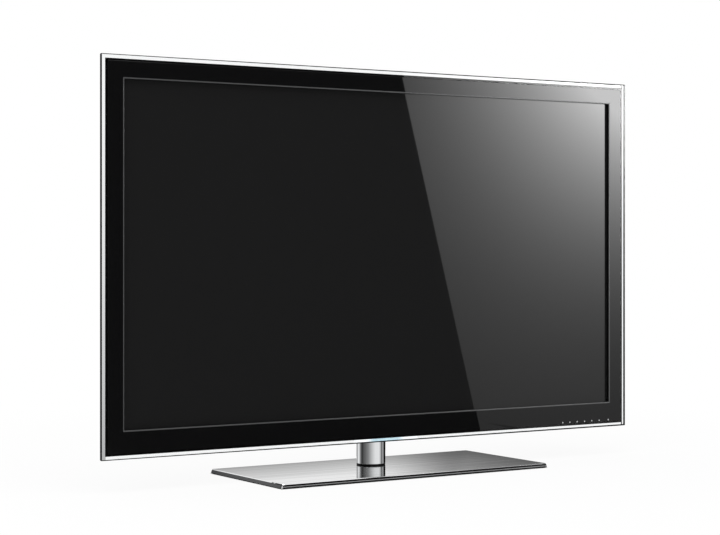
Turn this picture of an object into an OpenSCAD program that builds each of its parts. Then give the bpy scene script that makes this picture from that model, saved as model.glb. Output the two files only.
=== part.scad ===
// Flat screen television on a swivel stand, in millimetres.
// X runs to the right seen from the front, Y to the back and Z up, from the middle of the base on the floor.

/* [Screen] */
// Width of the picture opening
screen_w = 1021; // [900:1:1220]
// Height of the picture opening
screen_h = 574; // [550:1:690]
// Corner radius of the picture opening
screen_corner_r = 2.5; // [1:0.5:6]
// Depth of the glass behind the front face
screen_recess = 7; // [6.5:0.5:9]

/* [Bezel] */
// Width of the black bezel at each side
bezel_side = 27; // [25:0.5:45]
// Width of the black bezel above the picture
bezel_top = 27; // [25:0.5:45]
// Width of the black bezel below the picture
bezel_bottom = 35.5; // [33:0.5:60]
// Thickness of the bezel's front wall
bezel_face = 2.5; // [2:0.1:3]
// Thickness of the lip round the opening
bezel_lip = 2.2; // [1.6:0.1:2.6]
// Width of the bevelled bead round the opening
bead_w = 2.2; // [1:0.1:3]
// Depth of the bevelled bead
bead_d = 0.8; // [0.3:0.1:1.2]
// Thickness of the moulded side walls
wall = 2; // [1.6:0.1:2.6]

/* [Clear edge] */
// Width of the clear rim at each side
edge_side = 12; // [6:0.5:20]
// Width of the clear rim at the top
edge_top = 10.5; // [6:0.5:20]
// Width of the clear rim at the bottom
edge_bottom = 10; // [6:0.5:20]
// Thickness of the clear rim
edge_t = 5.4; // [4:0.2:7]
// How far the bezel leans out under the rim
edge_slant = 3.2; // [2:0.1:4]
// Bevel along the rim's front edge
edge_bevel = 1.2; // [0.5:0.1:2]
// Glue line between rim and bezel
bond_gap = 0.05; // [0.02:0.01:0.1]
// Width of the standby light bar
light_w = 82; // [40:1:100]
// How far the standby light bar reaches inside the bezel's wall
light_reach = 3; // [2:0.1:5]

/* [Rear body] */
// Depth of the parting line between bezel and rear cover
split_d = 12; // [10:0.5:13]
// Inward run of the rear body for each millimetre of depth
body_taper = 1; // [0.8:0.05:1.1]
// Joint line between bezel and rear cover
seam_gap = 0.2; // [0.1:0.05:0.4]
// Clearance between pieces that lie on each other
seat_gap = 0.1; // [0.05:0.05:0.2]
// Clearance round pieces that drop into place
slip_gap = 0.2; // [0.15:0.05:0.3]

/* [Panel module] */
// Thickness of the liquid-crystal glass
lcd_t = 1.8; // [1.4:0.1:2.4]
// How far the glass reaches under the bezel
glass_reach = 8.4; // [7:0.1:8.6]
// Thickness of the steel front frame
frame_t = 0.8; // [0.6:0.1:1]
// Thickness of the white frame's ledge
ledge_t = 0.8; // [0.6:0.1:1.2]
// Thickness of the white frame's rim
mid_t = 3.2; // [3:0.1:3.4]
// Thickness of one optical film
sheet_t = 0.2; // [0.15:0.05:0.3]
// Thickness of the light guide plate
guide_t = 4; // [3:0.1:5]
// How far the light guide reaches past the opening
guide_reach = 1.2; // [0.8:0.1:1.6]
// Thickness of the reflector sheet
reflector_t = 0.3; // [0.2:0.05:0.5]
// Thickness of the steel chassis
chassis_t = 1; // [0.8:0.1:1.4]
// Lamps on each light bar
led_count = 36; // [12:2:60]
// Height of a lamp above its strip
led_h = 1.6; // [1.2:0.1:2]
// Width of a lamp along the bar
led_w = 6; // [3:0.5:8]
// Distance of a lamp inside the light guide's faces
led_edge = 0.5; // [0.3:0.1:0.8]
// Air gap from the lamps to the light guide
led_gap = 0.4; // [0.2:0.1:0.6]
// Thickness of the lamp strip
strip_t = 1.2; // [0.8:0.1:1.4]
// Thickness of the heat bar
heat_bar_t = 2.5; // [1.5:0.1:3]

/* [Small screws] */
// Shank radius of the bezel, cover and board screws
screw_r = 1.2; // [1:0.1:1.5]
// Head radius of these screws
head_r = 2.8; // [2.4:0.1:3]
// Head height of these screws
head_h = 1.6; // [1.2:0.1:2]
// Clearance round a shank
thread_gap = 0.05; // [0.03:0.01:0.1]
// Radius of the moulded screw bosses
boss_r = 3.6; // [3:0.1:3.8]
// Distance of the frame's ears outside the opening
ear_out = 16; // [15.5:0.1:16.5]
// Length of an ear along the frame
ear_w = 14; // [10:0.5:20]
// Distance of the cover screws from the chassis edge
cover_inset = 10; // [9:0.5:11]
// Height of the middle cover screws from the screen's middle
cover_mid = 90; // [60:1:120]
// Free length below a screw's tip
tip_gap = 0.5; // [0.3:0.1:0.8]
// Length of thread in a bezel boss
boss_thread = 4; // [3:0.1:4.5]

/* [Boards] */
// Height of the board standoffs
standoff_h = 3; // [2:0.1:5]
// Radius of the board standoffs
standoff_r = 2.8; // [2.2:0.1:3]
// Thickness of a circuit board
pcb_t = 1.6; // [1:0.1:2]
// Width of the main board
main_w = 180; // [140:1:190]
// Width of the timing board
timing_w = 180; // [140:1:190]
// Height of the timing board
timing_h = 70; // [60:1:80]
// Height of the board connectors
plug_h = 2.4; // [2:0.1:3]
// Width of the picture ribbon
ribbon_w = 24; // [16:1:26]
// Thickness of a ribbon
ribbon_t = 0.3; // [0.2:0.05:0.5]
// Width of a ribbon's board connector
ribbon_plug_w = 30; // [28:1:36]
// Distance of a source ribbon from the middle
source_ribbon_x = 60; // [50:1:62]
// Width of the source boards
source_h = 16; // [12:0.5:18]
// Wires in the power harness
wire_count = 5; // [3:1:7]
// Radius of a harness wire
wire_r = 0.9; // [0.6:0.05:1]
// Pitch of the harness wires
wire_pitch = 2.4; // [2.2:0.1:3]
// Drop of the harness below the screen's middle
harness_drop = 70; // [60:1:90]
// Distance of the board screws from the board's edge
board_edge = 8; // [6:0.5:10]
// Clearance between a board and a bay
board_step = 0.5; // [0.3:0.1:1]
// Drop of the source boards below the picture's upper edge
source_drop = 18; // [14:1:24]
// Half of the gap between the source boards
source_mid = 30; // [20:1:34]
// Distance of the source boards from the chassis edge
source_inset = 70; // [50:1:100]
// Length of the touch key board
touch_w = 135; // [110:1:150]
// Height of the touch key board
touch_h = 12; // [10:0.5:13]
// Height of the standby light board
lamp_h = 8; // [6:0.5:10]
// Thickness of the small boards
thin_pcb_t = 1.2; // [0.8:0.1:1.4]
// Width of a processor under its heat sink
chip_w = 42; // [30:1:44]
// Height of the heat sink
sink_h = 5; // [4:0.1:6]
// Height of the tall power parts
coil_h = 6.5; // [5:0.1:6.6]
// Radius of the power capacitors
can_r = 6; // [4:0.1:7]

/* [Connections] */
// Drop of the connection bays below the screen's middle
bay_drop = 175; // [165:1:180]
// Width of the connection bay
bay_w = 70; // [50:1:75]
// Distance of the bays from the chassis edge
bay_inset = 45; // [40:1:50]
// Thickness of the bay trays
tray_t = 1.5; // [1.2:0.1:2]
// Pitch of the HDMI sockets
hdmi_pitch = 24; // [20:0.5:28]
// HDMI socket width
hdmi_w = 15.4; // [15:0.1:17]
// HDMI socket height
hdmi_h = 6.2; // [6:0.1:7]
// USB socket width
usb_w = 14.5; // [14:0.1:16]
// USB socket height
usb_h = 6.8; // [6.6:0.1:7.5]
// Wall of the metal sockets
shell_t = 0.6; // [0.4:0.05:0.7]
// Network socket width
lan_w = 16; // [15.5:0.1:18]
// Network socket height
lan_h = 10; // [9.5:0.1:12]
// Optical socket width
optical_w = 9.6; // [9:0.1:11]
// Optical socket height
optical_h = 7.2; // [7:0.1:8]
// Wall of the moulded sockets
block_t = 1.2; // [1:0.05:1.2]
// Audio jack block width
jack_w = 8; // [7.5:0.1:9]
// Audio jack bore radius
jack_r = 1.8; // [1.75:0.05:1.9]
// Antenna socket radius
antenna_r = 4.8; // [4.6:0.1:5]
// Antenna socket bore radius
antenna_bore_r = 3.4; // [3:0.1:3.6]
// Gap between neighbouring sockets of different kinds
socket_gap = 7; // [5:0.5:9]
// Length of a socket behind its mouth
socket_l = 13; // [12:0.5:18]
// Thickness of an audio jack's closed end
socket_floor = 2; // [1:0.1:3]
// Depth of the antenna socket's bore
antenna_l = 12; // [10:0.5:15]
// Thickness of the mains inlet's closed end
inlet_floor = 4; // [2:0.1:5]
// Distance of the mains pins behind the mouth
pin_back = 3; // [2:0.1:4]
// Width of the mains bay
inlet_bay_w = 40; // [30:1:50]
// Height of the mains bay
inlet_bay_h = 60; // [50:1:80]
// Mains inlet width
inlet_w = 22; // [20:0.1:24]
// Mains inlet height
inlet_h = 9.6; // [9.4:0.1:11]
// Radius of the mains pins
pin_r = 1.2; // [1:0.05:1.3]
// Distance between the mains pins
pin_pitch = 8.6; // [8:0.1:10]

/* [Sound and vents] */
// Speaker box length
speaker_w = 140; // [110:1:150]
// Speaker box height
speaker_h = 45; // [42:1:50]
// Speaker box depth
speaker_d = 9.5; // [8:0.1:10]
// Radius of the large cone
woofer_r = 17; // [14:0.5:18]
// Radius of the small cone
tweeter_r = 9; // [7:0.5:11]
// Distance of the speakers from the chassis edge
speaker_inset = 40; // [36:1:45]
// Height of the vent windows
vent_h = 32; // [24:1:34]
// Thickness of the grilles
grille_t = 1.2; // [0.8:0.1:1.5]
// Pitch of the grille slots
slot_pitch = 9; // [8:0.5:14]
// Width of a grille slot
slot_w = 3.4; // [2.5:0.1:5]
// Distance of a slot's ends from the window's edges
slot_edge = 2; // [1:0.5:4]
// Overlap of a grille behind its window
grille_lap = 5; // [3:0.5:6]
// Half of the gap between the vents at the middle
vent_mid = 40; // [20:1:60]
// Gap between a vent's grille and a wall-mount bush
vent_clear = 7; // [3:0.5:12]
// Distance of the vents from the chassis edge
vent_inset = 110; // [80:1:140]
// Drop of the vents below the picture's upper edge
vent_drop = 26; // [22:1:40]
// Margin of a speaker window inside its speaker box
sound_margin = 8; // [6:0.5:10]
// Height of the speakers above the chassis edge
speaker_lift = 3; // [2:0.5:6]
// Thickness of a cone
cone_h = 1.6; // [1.2:0.1:2]

/* [Wall mount] */
// Spacing of the wall-mount holes
mount_pitch = 400; // [200:100:400]
// Radius of the M8 wall-mount holes
mount_r = 4; // [3:0.5:4]
// Radius of the wall-mount bushes
mount_bush_r = 8; // [7:0.5:9]
// Thickness of a bush's closed end
bush_floor = 1.5; // [1:0.1:3]

/* [Stand] */
// Width of the base's top
base_w = 549; // [400:1:700]
// Depth of the base's top
base_d = 249; // [220:1:350]
// Height of the base's top above the floor
base_h = 8; // [7.5:0.1:14]
// Outward slope of the base's sides
base_draft = 2.5; // [0:0.1:4]
// Corner radius of the base's top
base_corner_r = 4; // [3:0.5:20]
// Bevel along the base's top edge
base_bevel = 1.4; // [0.4:0.1:1.5]
// Thickness of the base cover
base_skin = 1.5; // [1:0.1:1.8]
// Height of the rubber feet
foot_h = 1.5; // [1:0.1:2]
// Radius of the rubber feet
foot_r = 9; // [6:0.5:14]
// Distance of the feet from the base's short edges
foot_in_x = 30; // [20:1:60]
// Distance of the feet from the base's long edges
foot_in_y = 25; // [20:1:40]
// Place of the panel's front ahead of the base's middle
panel_ahead = 19; // [0:1:40]
// Clear height between base and panel
neck_gap = 45; // [40:1:90]
// Outer radius of the neck
neck_r = 25.5; // [24:0.5:27]
// Wall of the neck tube
neck_wall = 6.5; // [6:0.1:7]
// Distance of the neck's axis behind the rear cover
neck_back = 23; // [23:0.5:35]
// How far the neck reaches above the panel's lower edge
neck_rise = 10; // [6:0.5:16]
// Height of the black ring under the neck
ring_h = 2.5; // [2:0.1:4]
// Radius of the spindle's post
post_r = 9; // [8:0.1:10]
// Radius of the spindle's threaded end
stud_r = 6; // [5:0.1:7]
// Height of the spindle's flange
flange_h = 6; // [5:0.5:8]
// Length of the bushes
bush_h = 11; // [8:0.5:12]
// Running clearance of the bushes
run_gap = 0.05; // [0.03:0.01:0.08]
// Thickness of the retaining washer
washer_t = 2; // [1.5:0.1:2.5]
// Height of the lock nut
nut_h = 8; // [6:0.5:9]
// Key width of the lock nut
nut_key = 19; // [18:0.5:22]
// Shank radius of the spindle screws
anchor_r = 2.4; // [2:0.1:2.5]
// Head radius of the spindle screws
anchor_head_r = 4.2; // [3.8:0.1:4.4]
// Head height of the spindle screws
anchor_head_h = 2; // [1.5:0.1:2.2]
// Swivel to each side, in degrees
swivel = 20; // [10:1:30]
// Radius of the stop pin
stop_r = 1.5; // [1.2:0.1:1.7]
// Height of the stop pin inside the neck
stop_h = 3; // [2:0.1:5]
// Clearance round the stop pin
stop_gap = 0.35; // [0.3:0.05:0.5]
// Spare swivel before the stop pin touches, in degrees
stop_spare = 0.5; // [0.3:0.1:1]
// Clearance of the turning pieces inside the neck
turn_gap = 1.5; // [1:0.1:2]
// Step of the black ring inside the neck's outline
ring_gap = 0.3; // [0.2:0.1:0.5]
// Drop of the lock nut below the neck's top
nut_drop = 2.6; // [2:0.1:4]

/* [Stand bracket] */
// Width of the bracket's upright plate
bracket_w = 120; // [90:1:130]
// Height of the bracket's upright plate
bracket_h = 132; // [125:1:145]
// Thickness of the bracket
bracket_t = 4; // [3:0.1:4]
// Thickness of the bracket's foot over the neck
bracket_foot_t = 5; // [4:0.1:7]
// Thickness of the bracket's ribs
rib_t = 4; // [3:0.1:4.5]
// Shank radius of the stand screws
stand_screw_r = 2.4; // [2:0.1:2.5]
// Head radius of the stand screws
stand_head_r = 4.5; // [4:0.1:5]
// Head height of the stand screws
stand_head_h = 3; // [2:0.1:4]
// Shank radius of the neck screws
neck_screw_r = 1.5; // [1.2:0.1:1.7]
// Depth of the neck screws' holes
neck_screw_l = 12; // [8:0.5:14]
// Width of the bracket's foot outside the neck
foot_margin = 1.5; // [1:0.1:2]
// Width of the steel mount inside
mount_plate_w = 160; // [150:1:170]
// Height of the steel mount inside
mount_plate_h = 110; // [105:1:120]
// Thickness of the steel mount inside
mount_plate_t = 3; // [2:0.1:3.5]
// Height of the steel mount above the chassis edge
mount_lift = 4; // [2:0.5:8]
// Sideways distance of the stand screws from the middle
stand_screw_x = 45; // [34:1:50]
// Distance of the stand screws from the mount's ends
stand_screw_in = 20; // [12:1:25]

/* [Hidden] */
$fn = 48;
far = 5;
mouth_cut = 1;
weld = 0.01;

// Heights of the panel and the picture
panel_z = base_h + neck_gap;
screen_z0 = panel_z + edge_bottom + bezel_bottom;
screen_z1 = screen_z0 + screen_h;
screen_zc = (screen_z0 + screen_z1) / 2;
panel_y = -panel_ahead;

// Outlines in X and Z: half width, lower edge, upper edge
function grow(r, g) = [r[0] + g, r[1] - g, r[2] + g];
opening = [screen_w / 2, screen_z0, screen_z1];
face = [opening[0] + bezel_side, screen_z0 - bezel_bottom, screen_z1 + bezel_top];
shoulder = grow(face, edge_slant);
rim = [face[0] + edge_side, face[1] - edge_bottom, face[2] + edge_top];
function body(d) = grow(shoulder, -(d - edge_t) * body_taper);
function level(r, d) = [r[0], r[1], r[2], d];
wall_run = wall * sqrt(1 + body_taper * body_taper);

// Depths of the panel's layers behind the front face
glass_back = screen_recess + lcd_t;
ledge_front = glass_back + slip_gap;
ledge_back = ledge_front + ledge_t;
guide_front = ledge_back + 3 * sheet_t;
guide_back = guide_front + guide_t;
reflector_back = guide_back + reflector_t;
chassis_front = reflector_back + seat_gap;
chassis_back = chassis_front + chassis_t;
frame_back = screen_recess - slip_gap;
frame_front = frame_back - frame_t;

// Outward steps of the panel's layers from the opening
led_face = guide_reach + led_gap;
strip_out = led_face + led_h;
heat_out = strip_out + strip_t + seat_gap;
chassis_wall_out = heat_out + heat_bar_t + seat_gap;
chassis_out = chassis_wall_out + chassis_t;
mid_in = chassis_out + slip_gap;
mid_out = mid_in + mid_t;
frame_wall_out = mid_out + slip_gap;
frame_out = frame_wall_out + frame_t;
stop_in = glass_reach + slip_gap;
lip_clear = bezel_lip + frame_t;
chassis = grow(opening, chassis_out);

// Room for the boards and the whole depth
pcb_front = chassis_back + standoff_h;
pcb_back = pcb_front + pcb_t;
tray_front = chassis_back + seat_gap;
tray_floor = tray_front + tray_t;
sunk_front = tray_floor + slip_gap;
surface_room = standoff_h + pcb_t + max(hdmi_h, usb_h, optical_h);
sunk_room = sunk_front - chassis_back + max(lan_h, 2 * antenna_r, inlet_h);
cover_inner = chassis_back + max(surface_room, sunk_room) + slip_gap;
body_d = cover_inner + wall;
parts_back = cover_inner - seat_gap;
grille_front = parts_back - grille_t;

// Places of the bays, boards and sockets
bay_x1 = chassis[0] - bay_inset;
bay_x0 = bay_x1 - bay_w;
bay_z0 = screen_zc - bay_drop;
mouth_x = bay_x0 + tray_t;
hdmi_z = [for (i = [0:3]) bay_z0 + hdmi_pitch * (i + 0.7)];
usb_z0 = hdmi_z[3] + (hdmi_w + usb_w) / 2 + socket_gap;
usb_z = [usb_z0, usb_z0 + usb_w + socket_gap];
lan_z = usb_z[1] + (usb_w + lan_w) / 2 + socket_gap;
optical_z = lan_z + (lan_w + optical_w) / 2 + socket_gap;
jack_z0 = optical_z + (optical_w + jack_w) / 2 + socket_gap;
jack_z = [jack_z0, jack_z0 + jack_w + socket_gap];
antenna_z = jack_z[1] + jack_w / 2 + antenna_r + socket_gap;
bay_z1 = antenna_z + antenna_r + 2 * socket_gap;
lan_d = [sunk_front, sunk_front + lan_h];
antenna_d = sunk_front + antenna_r;
inlet_x = -bay_x1 + inlet_bay_w;
inlet_z = bay_z0 + inlet_bay_h / 2;
inlet_d = [sunk_front, sunk_front + inlet_h];
inlet_l = 1.6 * socket_l;
main_x1 = bay_x0 - board_step;
main_x0 = main_x1 - main_w;
power_x0 = inlet_x + board_step;
power_x1 = -main_x0;
board_z0 = bay_z0 + tray_t;
board_z1 = bay_z1 - tray_t;
timing_half = timing_w / 2;
timing_z0 = screen_zc - timing_h / 2;
timing_z1 = screen_zc + timing_h / 2;
ribbon_d = pcb_back + plug_h / 2;
harness_z = screen_zc - harness_drop;
harness_plug_w = wire_count * wire_pitch + 2 * wire_r;
source_z1 = screen_z1 - source_drop;
source_z0 = source_z1 - source_h;
source_x0 = source_mid;
source_x1 = chassis[0] - source_inset;
main_posts = [for (x = [main_x0 + board_edge, main_x1 - 4 * board_edge],
                   z = [board_z0 + board_edge, board_z1 - board_edge]) [x, z]];
power_posts = [for (x = [power_x0 + 4 * board_edge, power_x1 - board_edge],
                    z = [board_z0 + board_edge, board_z1 - board_edge]) [x, z]];
timing_posts = [for (x = [-1, 1], z = [timing_z0 + board_edge, timing_z1 - board_edge])
                [x * (timing_half - board_edge), z]];
posts = concat(main_posts, power_posts, timing_posts);

// Places of the speakers, vents and screws
speaker_x1 = chassis[0] - speaker_inset;
speaker_x0 = speaker_x1 - speaker_w;
speaker_z0 = chassis[1] + speaker_lift;
speaker_z1 = speaker_z0 + speaker_h;
speaker_back = tray_front + speaker_d;
cone_z = (speaker_z0 + speaker_z1) / 2;
woofer_x = speaker_x1 - speaker_w / 3;
tweeter_x = speaker_x0 + speaker_w / 5;
vent_z1 = screen_z1 - vent_drop;
vent_z0 = vent_z1 - vent_h;
bush_clear = mount_bush_r + grille_lap + vent_clear;
vent_runs = [[vent_mid, mount_pitch / 2 - bush_clear],
    [mount_pitch / 2 + bush_clear, chassis[0] - vent_inset]];
sound_x = [speaker_x0 + sound_margin, speaker_x1 - sound_margin];
sound_z = [speaker_z0 + sound_margin, speaker_z1 - sound_margin];
cover_x = chassis[0] - cover_inset;
cover_z = [chassis[1] + cover_inset, chassis[2] - cover_inset];
cover_spots = [for (s = [-1, 1]) each [
    [s * cover_x, cover_z[1]], [s * cover_x / 3, cover_z[1]],
    [s * cover_x, screen_zc + cover_mid], [s * cover_x, screen_zc - cover_mid],
    [s * cover_x, cover_z[0]], [s * cover_x * 0.45, cover_z[0]]]];
well_d = head_h + 2 * slip_gap;
ear_spots = concat(
    [for (x = [-0.4, -0.13, 0.13, 0.4]) [x * screen_w, screen_z1 + ear_out, 0]],
    [for (x = [-0.4, -0.13, 0.13, 0.4]) [x * screen_w, screen_z0 - ear_out, 0]],
    [for (s = [-1, 1], z = [-0.3, 0.3]) [s * (opening[0] + ear_out), screen_zc + z * screen_h, 1]]);
ear_front = ledge_front;
ear_back = ear_front + frame_t;
boss_back = ear_front - seat_gap;
boss_bore = boss_back - boss_thread;
touch_x = [screen_w / 2 - touch_w, screen_w / 2];
touch_z = [face[1] + wall + slip_gap, face[1] + wall + slip_gap + touch_h];
board_front = bezel_face + seat_gap;
light_d = [bezel_face + slip_gap + seat_gap, edge_t - 2 * slip_gap];
light_z1 = face[1] + wall + light_reach;

// Heights and places of the stand
neck_y = panel_y + body_d + neck_back;
neck_z1 = panel_z + neck_rise;
neck_z0 = base_h + ring_h + seat_gap;
neck_in = neck_r - neck_wall;
neck_mid = neck_r - neck_wall / 2;
ballast_z1 = base_h - base_skin - seat_gap;
flange_r = neck_in - turn_gap;
flange_z1 = ballast_z1 + flange_h;
ring_in = flange_r + ring_gap;
lower_bush_z0 = flange_z1 + seat_gap;
nut_z0 = neck_z1 - nut_drop - nut_h;
washer_z0 = nut_z0 - seat_gap - washer_t;
post_z1 = washer_z0 - seat_gap;
upper_bush_z0 = post_z1 - bush_h;
stud_z1 = nut_z0 + nut_h + 2 * slip_gap;
anchor_pcd_r = (post_r + flange_r) / 2;
anchor_angles = [45, 135, 225, 315];
anchor_seat = foot_h + anchor_head_h + 2 * slip_gap;
anchor_tip = flange_z1 - 2 * tip_gap;
stop_z0 = foot_h + base_skin;
stop_z1 = neck_z0 + stop_h;
stop_slot_h = stop_h + tip_gap;
stop_slot = stop_r + stop_gap;
slot_angle = swivel + asin(stop_slot / neck_mid) + stop_spare;
plate_front = body_d + seat_gap;
plate_back = plate_front + bracket_t;
foot_z1 = neck_z1 + bracket_foot_t;
bracket_half = neck_r + foot_margin;
bracket_z1 = neck_z1 + bracket_h;
mount_z0 = chassis[1] + mount_lift;
mount_z1 = mount_z0 + mount_plate_h;
stand_spots = [for (s = [-1, 1], z = [mount_z0 + stand_screw_in, mount_z1 - stand_screw_in])
    [s * stand_screw_x, z]];
foot_spots = [for (x = [-1, 0, 1], y = [-1, 1])
    [x * (base_w / 2 - foot_in_x), y * (base_d / 2 - foot_in_y)]];

// Box between two X values, two depths and two heights
module block(x, d, z) {
    translate([x[0], panel_y + d[0], z[0]]) cube([x[1] - x[0], d[1] - d[0], z[1] - z[0]]);
}

// Round bar along the depth
module rod(x, z, r, d) {
    translate([x, panel_y + d[1], z]) rotate([90, 0, 0]) cylinder(r = r, h = d[1] - d[0]);
}

// Outline in X and Z drawn out between two depths
module drawn(d) {
    translate([0, panel_y + d[1], 0]) rotate([90, 0, 0]) linear_extrude(d[1] - d[0]) children();
}

module plain(r) {
    translate([-r[0], r[1]]) square([2 * r[0], r[2] - r[1]]);
}

module rounded(r, c) {
    plain([r[0] - c, r[1], r[2]]);
    plain([r[0], r[1] + c, r[2] - c]);
    for (x = [-1, 1], z = [r[1] + c, r[2] - c]) translate([x * (r[0] - c), z]) circle(r = c);
}

// Plate and picture frame whose edges lie so far outside the opening
module pane(out, d) {
    drawn(d) plain(grow(opening, out));
}

module border(inner, outer, d) {
    drawn(d) difference() {
        plain(grow(opening, outer));
        plain(grow(opening, inner));
    }
}

// Solid through a row of rectangles at growing depths
module tapered(rows) {
    last = len(rows) - 1;
    points = [for (r = rows) each [for (c = [[-1, 1], [1, 1], [1, 2], [-1, 2]])
        [c[0] * r[0], panel_y + r[3], r[c[1]]]]];
    ends = [[3, 2, 1, 0], [for (j = [0:3]) 4 * last + j]];
    sides = [for (k = [0:last - 1], j = [0:3])
        [4 * k + j, 4 * (k + 1) + j, 4 * (k + 1) + (j + 1) % 4, 4 * k + (j + 1) % 4]];
    polyhedron(points, concat(ends, sides));
}

module black_core(out) {
    tapered([level(grow(face, out), 0), level(grow(shoulder, out), edge_t),
        level(grow(body(split_d), out), split_d)]);
}

module front_bezel() {
    lead = bezel_face - weld;
    color("#101010") difference() {
        union() {
            difference() {
                black_core(0);
                difference() {
                    tapered([level(grow(face, -wall), bezel_face), level(grow(shoulder, -wall_run), edge_t),
                        level(grow(body(split_d + far), -wall_run), split_d + far)]);
                    drawn([0, frame_back + seat_gap]) rounded(grow(opening, bezel_lip), screen_corner_r);
                }
            }
            for (s = ear_spots) rod(s[0], s[1], boss_r, [lead, boss_back]);
        }
        drawn([-far, split_d + far]) rounded(opening, screen_corner_r);
        tapered([level(grow(opening, bead_w * (1 + far / bead_d)), -far), level(opening, bead_d)]);
        for (s = ear_spots) rod(s[0], s[1], screw_r + thread_gap, [boss_bore, boss_back + far]);
        block([-light_w / 2 - slip_gap, light_w / 2 + slip_gap],
            [light_d[0] - slip_gap, light_d[1] + slip_gap], [rim[1], light_z1 + slip_gap]);
    }
}

module crystal_edge() {
    color("#e8f0f4", 0.4) difference() {
        tapered([level(grow(rim, -edge_bevel), 0), level(rim, edge_bevel), level(rim, edge_t)]);
        tapered([level(grow(face, bond_gap - edge_slant * far / edge_t), -far),
            level(grow(shoulder, bond_gap + edge_slant * far / edge_t), edge_t + far)]);
    }
}

module light_pipe() {
    color("#dff2ff", 0.6) intersection() {
        block([-light_w / 2, light_w / 2], light_d, [rim[1], light_z1]);
        black_core(0);
    }
}

module lcd_glass() {
    color("#16181a") pane(glass_reach, [screen_recess, glass_back]);
}

module panel_front_frame() {
    color("#8f9496") difference() {
        union() {
            border(lip_clear, frame_out, [frame_front, frame_back]);
            border(frame_wall_out, frame_out, [frame_front, chassis_back - slip_gap]);
            for (s = ear_spots) frame_ear(s);
        }
        for (s = ear_spots) rod(s[0], s[1], screw_r + slip_gap, [ear_front - far, ear_back + far]);
    }
}

// Flat tab that stands out from the steel frame over a boss
module frame_ear(s) {
    half = ear_w / 2;
    reach = ear_out - frame_wall_out - frame_t / 2;
    tip = head_r + 2 * slip_gap;
    upright = s[2] == 1;
    out = upright ? sign(s[0]) : sign(s[1] - screen_zc);
    root = out > 0 ? [-reach, tip] : [-tip, reach];
    if (upright) block([s[0] + root[0], s[0] + root[1]], [ear_front, ear_back], [s[1] - half, s[1] + half]);
    else block([s[0] - half, s[0] + half], [ear_front, ear_back], [s[1] + root[0], s[1] + root[1]]);
}

module mid_frame() {
    color("#e9e9e4") union() {
        border(lip_clear, mid_out, [ledge_front, ledge_back]);
        border(mid_in, mid_out, [ledge_front, chassis_back - slip_gap]);
        border(stop_in, mid_out, [screen_recess, ledge_front]);
    }
}

module film(i, tint) {
    color(tint) pane(guide_reach, [ledge_back + i * sheet_t, ledge_back + (i + 1) * sheet_t]);
}

module brightness_film() {
    film(0, "#eef3f6");
}

module prism_sheet() {
    film(1, "#e2e9ee");
}

module diffuser_sheet() {
    film(2, "#f6f6f2");
}

module light_guide_plate() {
    color("#dfeef2", 0.7) pane(guide_reach, [guide_front, guide_back]);
}

module reflector_sheet() {
    color("#fbfbfb") pane(guide_reach, [guide_back, reflector_back]);
}

// Strip of lamps above or below the light guide, on its heat bar
module led_bar(side) {
    reach = opening[0];
    step = 2 * reach / led_count;
    edge = side > 0 ? screen_z1 : screen_z0;
    strip = [edge + side * strip_out, edge + side * (strip_out + strip_t)];
    lamps = [edge + side * led_face, edge + side * (strip_out + strip_t / 2)];
    block([-reach, reach], [ledge_back + seat_gap, chassis_front - seat_gap], [min(strip), max(strip)]);
    for (i = [0:led_count - 1])
        block([-reach + step * (i + 0.5) - led_w / 2, -reach + step * (i + 0.5) + led_w / 2],
            [guide_front + led_edge, guide_back - led_edge], [min(lamps), max(lamps)]);
}

module heat_bar(side) {
    edge = side > 0 ? screen_z1 : screen_z0;
    span = [edge + side * heat_out, edge + side * (heat_out + heat_bar_t)];
    block([-opening[0], opening[0]], [ledge_back + seat_gap, chassis_front - seat_gap],
        [min(span), max(span)]);
}

module led_bars() {
    color("#f2f0d8") for (side = [-1, 1]) led_bar(side);
}

module heat_bars() {
    color("#b9bdc0") for (side = [-1, 1]) heat_bar(side);
}

module rear_chassis() {
    color("#a9adae") difference() {
        union() {
            pane(chassis_out, [chassis_front, chassis_back]);
            border(chassis_wall_out, chassis_out, [ledge_back + seat_gap, chassis_back]);
        }
        for (s = cover_spots)
            rod(s[0], s[1], screw_r + thread_gap, [chassis_front - far, chassis_back + far]);
    }
}

// Screw along the depth with its head at the back
module screw(x, z, tip, seat) {
    rod(x, z, screw_r, [tip, seat + head_h / 2]);
    rod(x, z, head_r, [seat, seat + head_h]);
}

module bezel_screws() {
    color("#3c3f41") for (s = ear_spots) screw(s[0], s[1], boss_bore + tip_gap, ear_back + seat_gap);
}

module touch_board() {
    strip = [board_front, board_front + thin_pcb_t];
    chips = [0.15, 0.35, 0.55, 0.75];
    color("#1d5a33") union() {
        block(touch_x, strip, touch_z);
        for (f = chips) {
            x = touch_x[0] + f * (touch_x[1] - touch_x[0]);
            block([x, x + 0.7 * touch_h], [strip[0] + thin_pcb_t / 2, strip[1] + thin_pcb_t],
                [touch_z[0] + touch_h / 4, touch_z[0] + 3 * touch_h / 4]);
        }
    }
}

module indicator_board() {
    z0 = light_z1 + 2 * slip_gap + thin_pcb_t;
    strip = [board_front, board_front + thin_pcb_t];
    color("#1d5a33") union() {
        block([-0.55 * light_w, 0.55 * light_w], strip, [z0, z0 + lamp_h]);
        for (f = [-0.35, 0, 0.35])
            block([f * light_w - led_w / 4, f * light_w + led_w / 4], [strip[0] + thin_pcb_t / 2, light_d[1]],
                [z0 - led_h / 2, z0 + led_h]);
    }
}

// Circuit board with its screw holes
module bare_board(x, z, holes) {
    difference() {
        block(x, [pcb_front, pcb_back], z);
        for (h = holes) rod(h[0], h[1], screw_r + slip_gap, [pcb_front - far, pcb_back + far]);
    }
}

// Part on a board, sunk a little into it so that they are one piece
module chip(x, z, w, l, h) {
    block([x - w / 2, x + w / 2], [pcb_back - pcb_t / 2, pcb_back + h], [z - l / 2, z + l / 2]);
}

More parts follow.
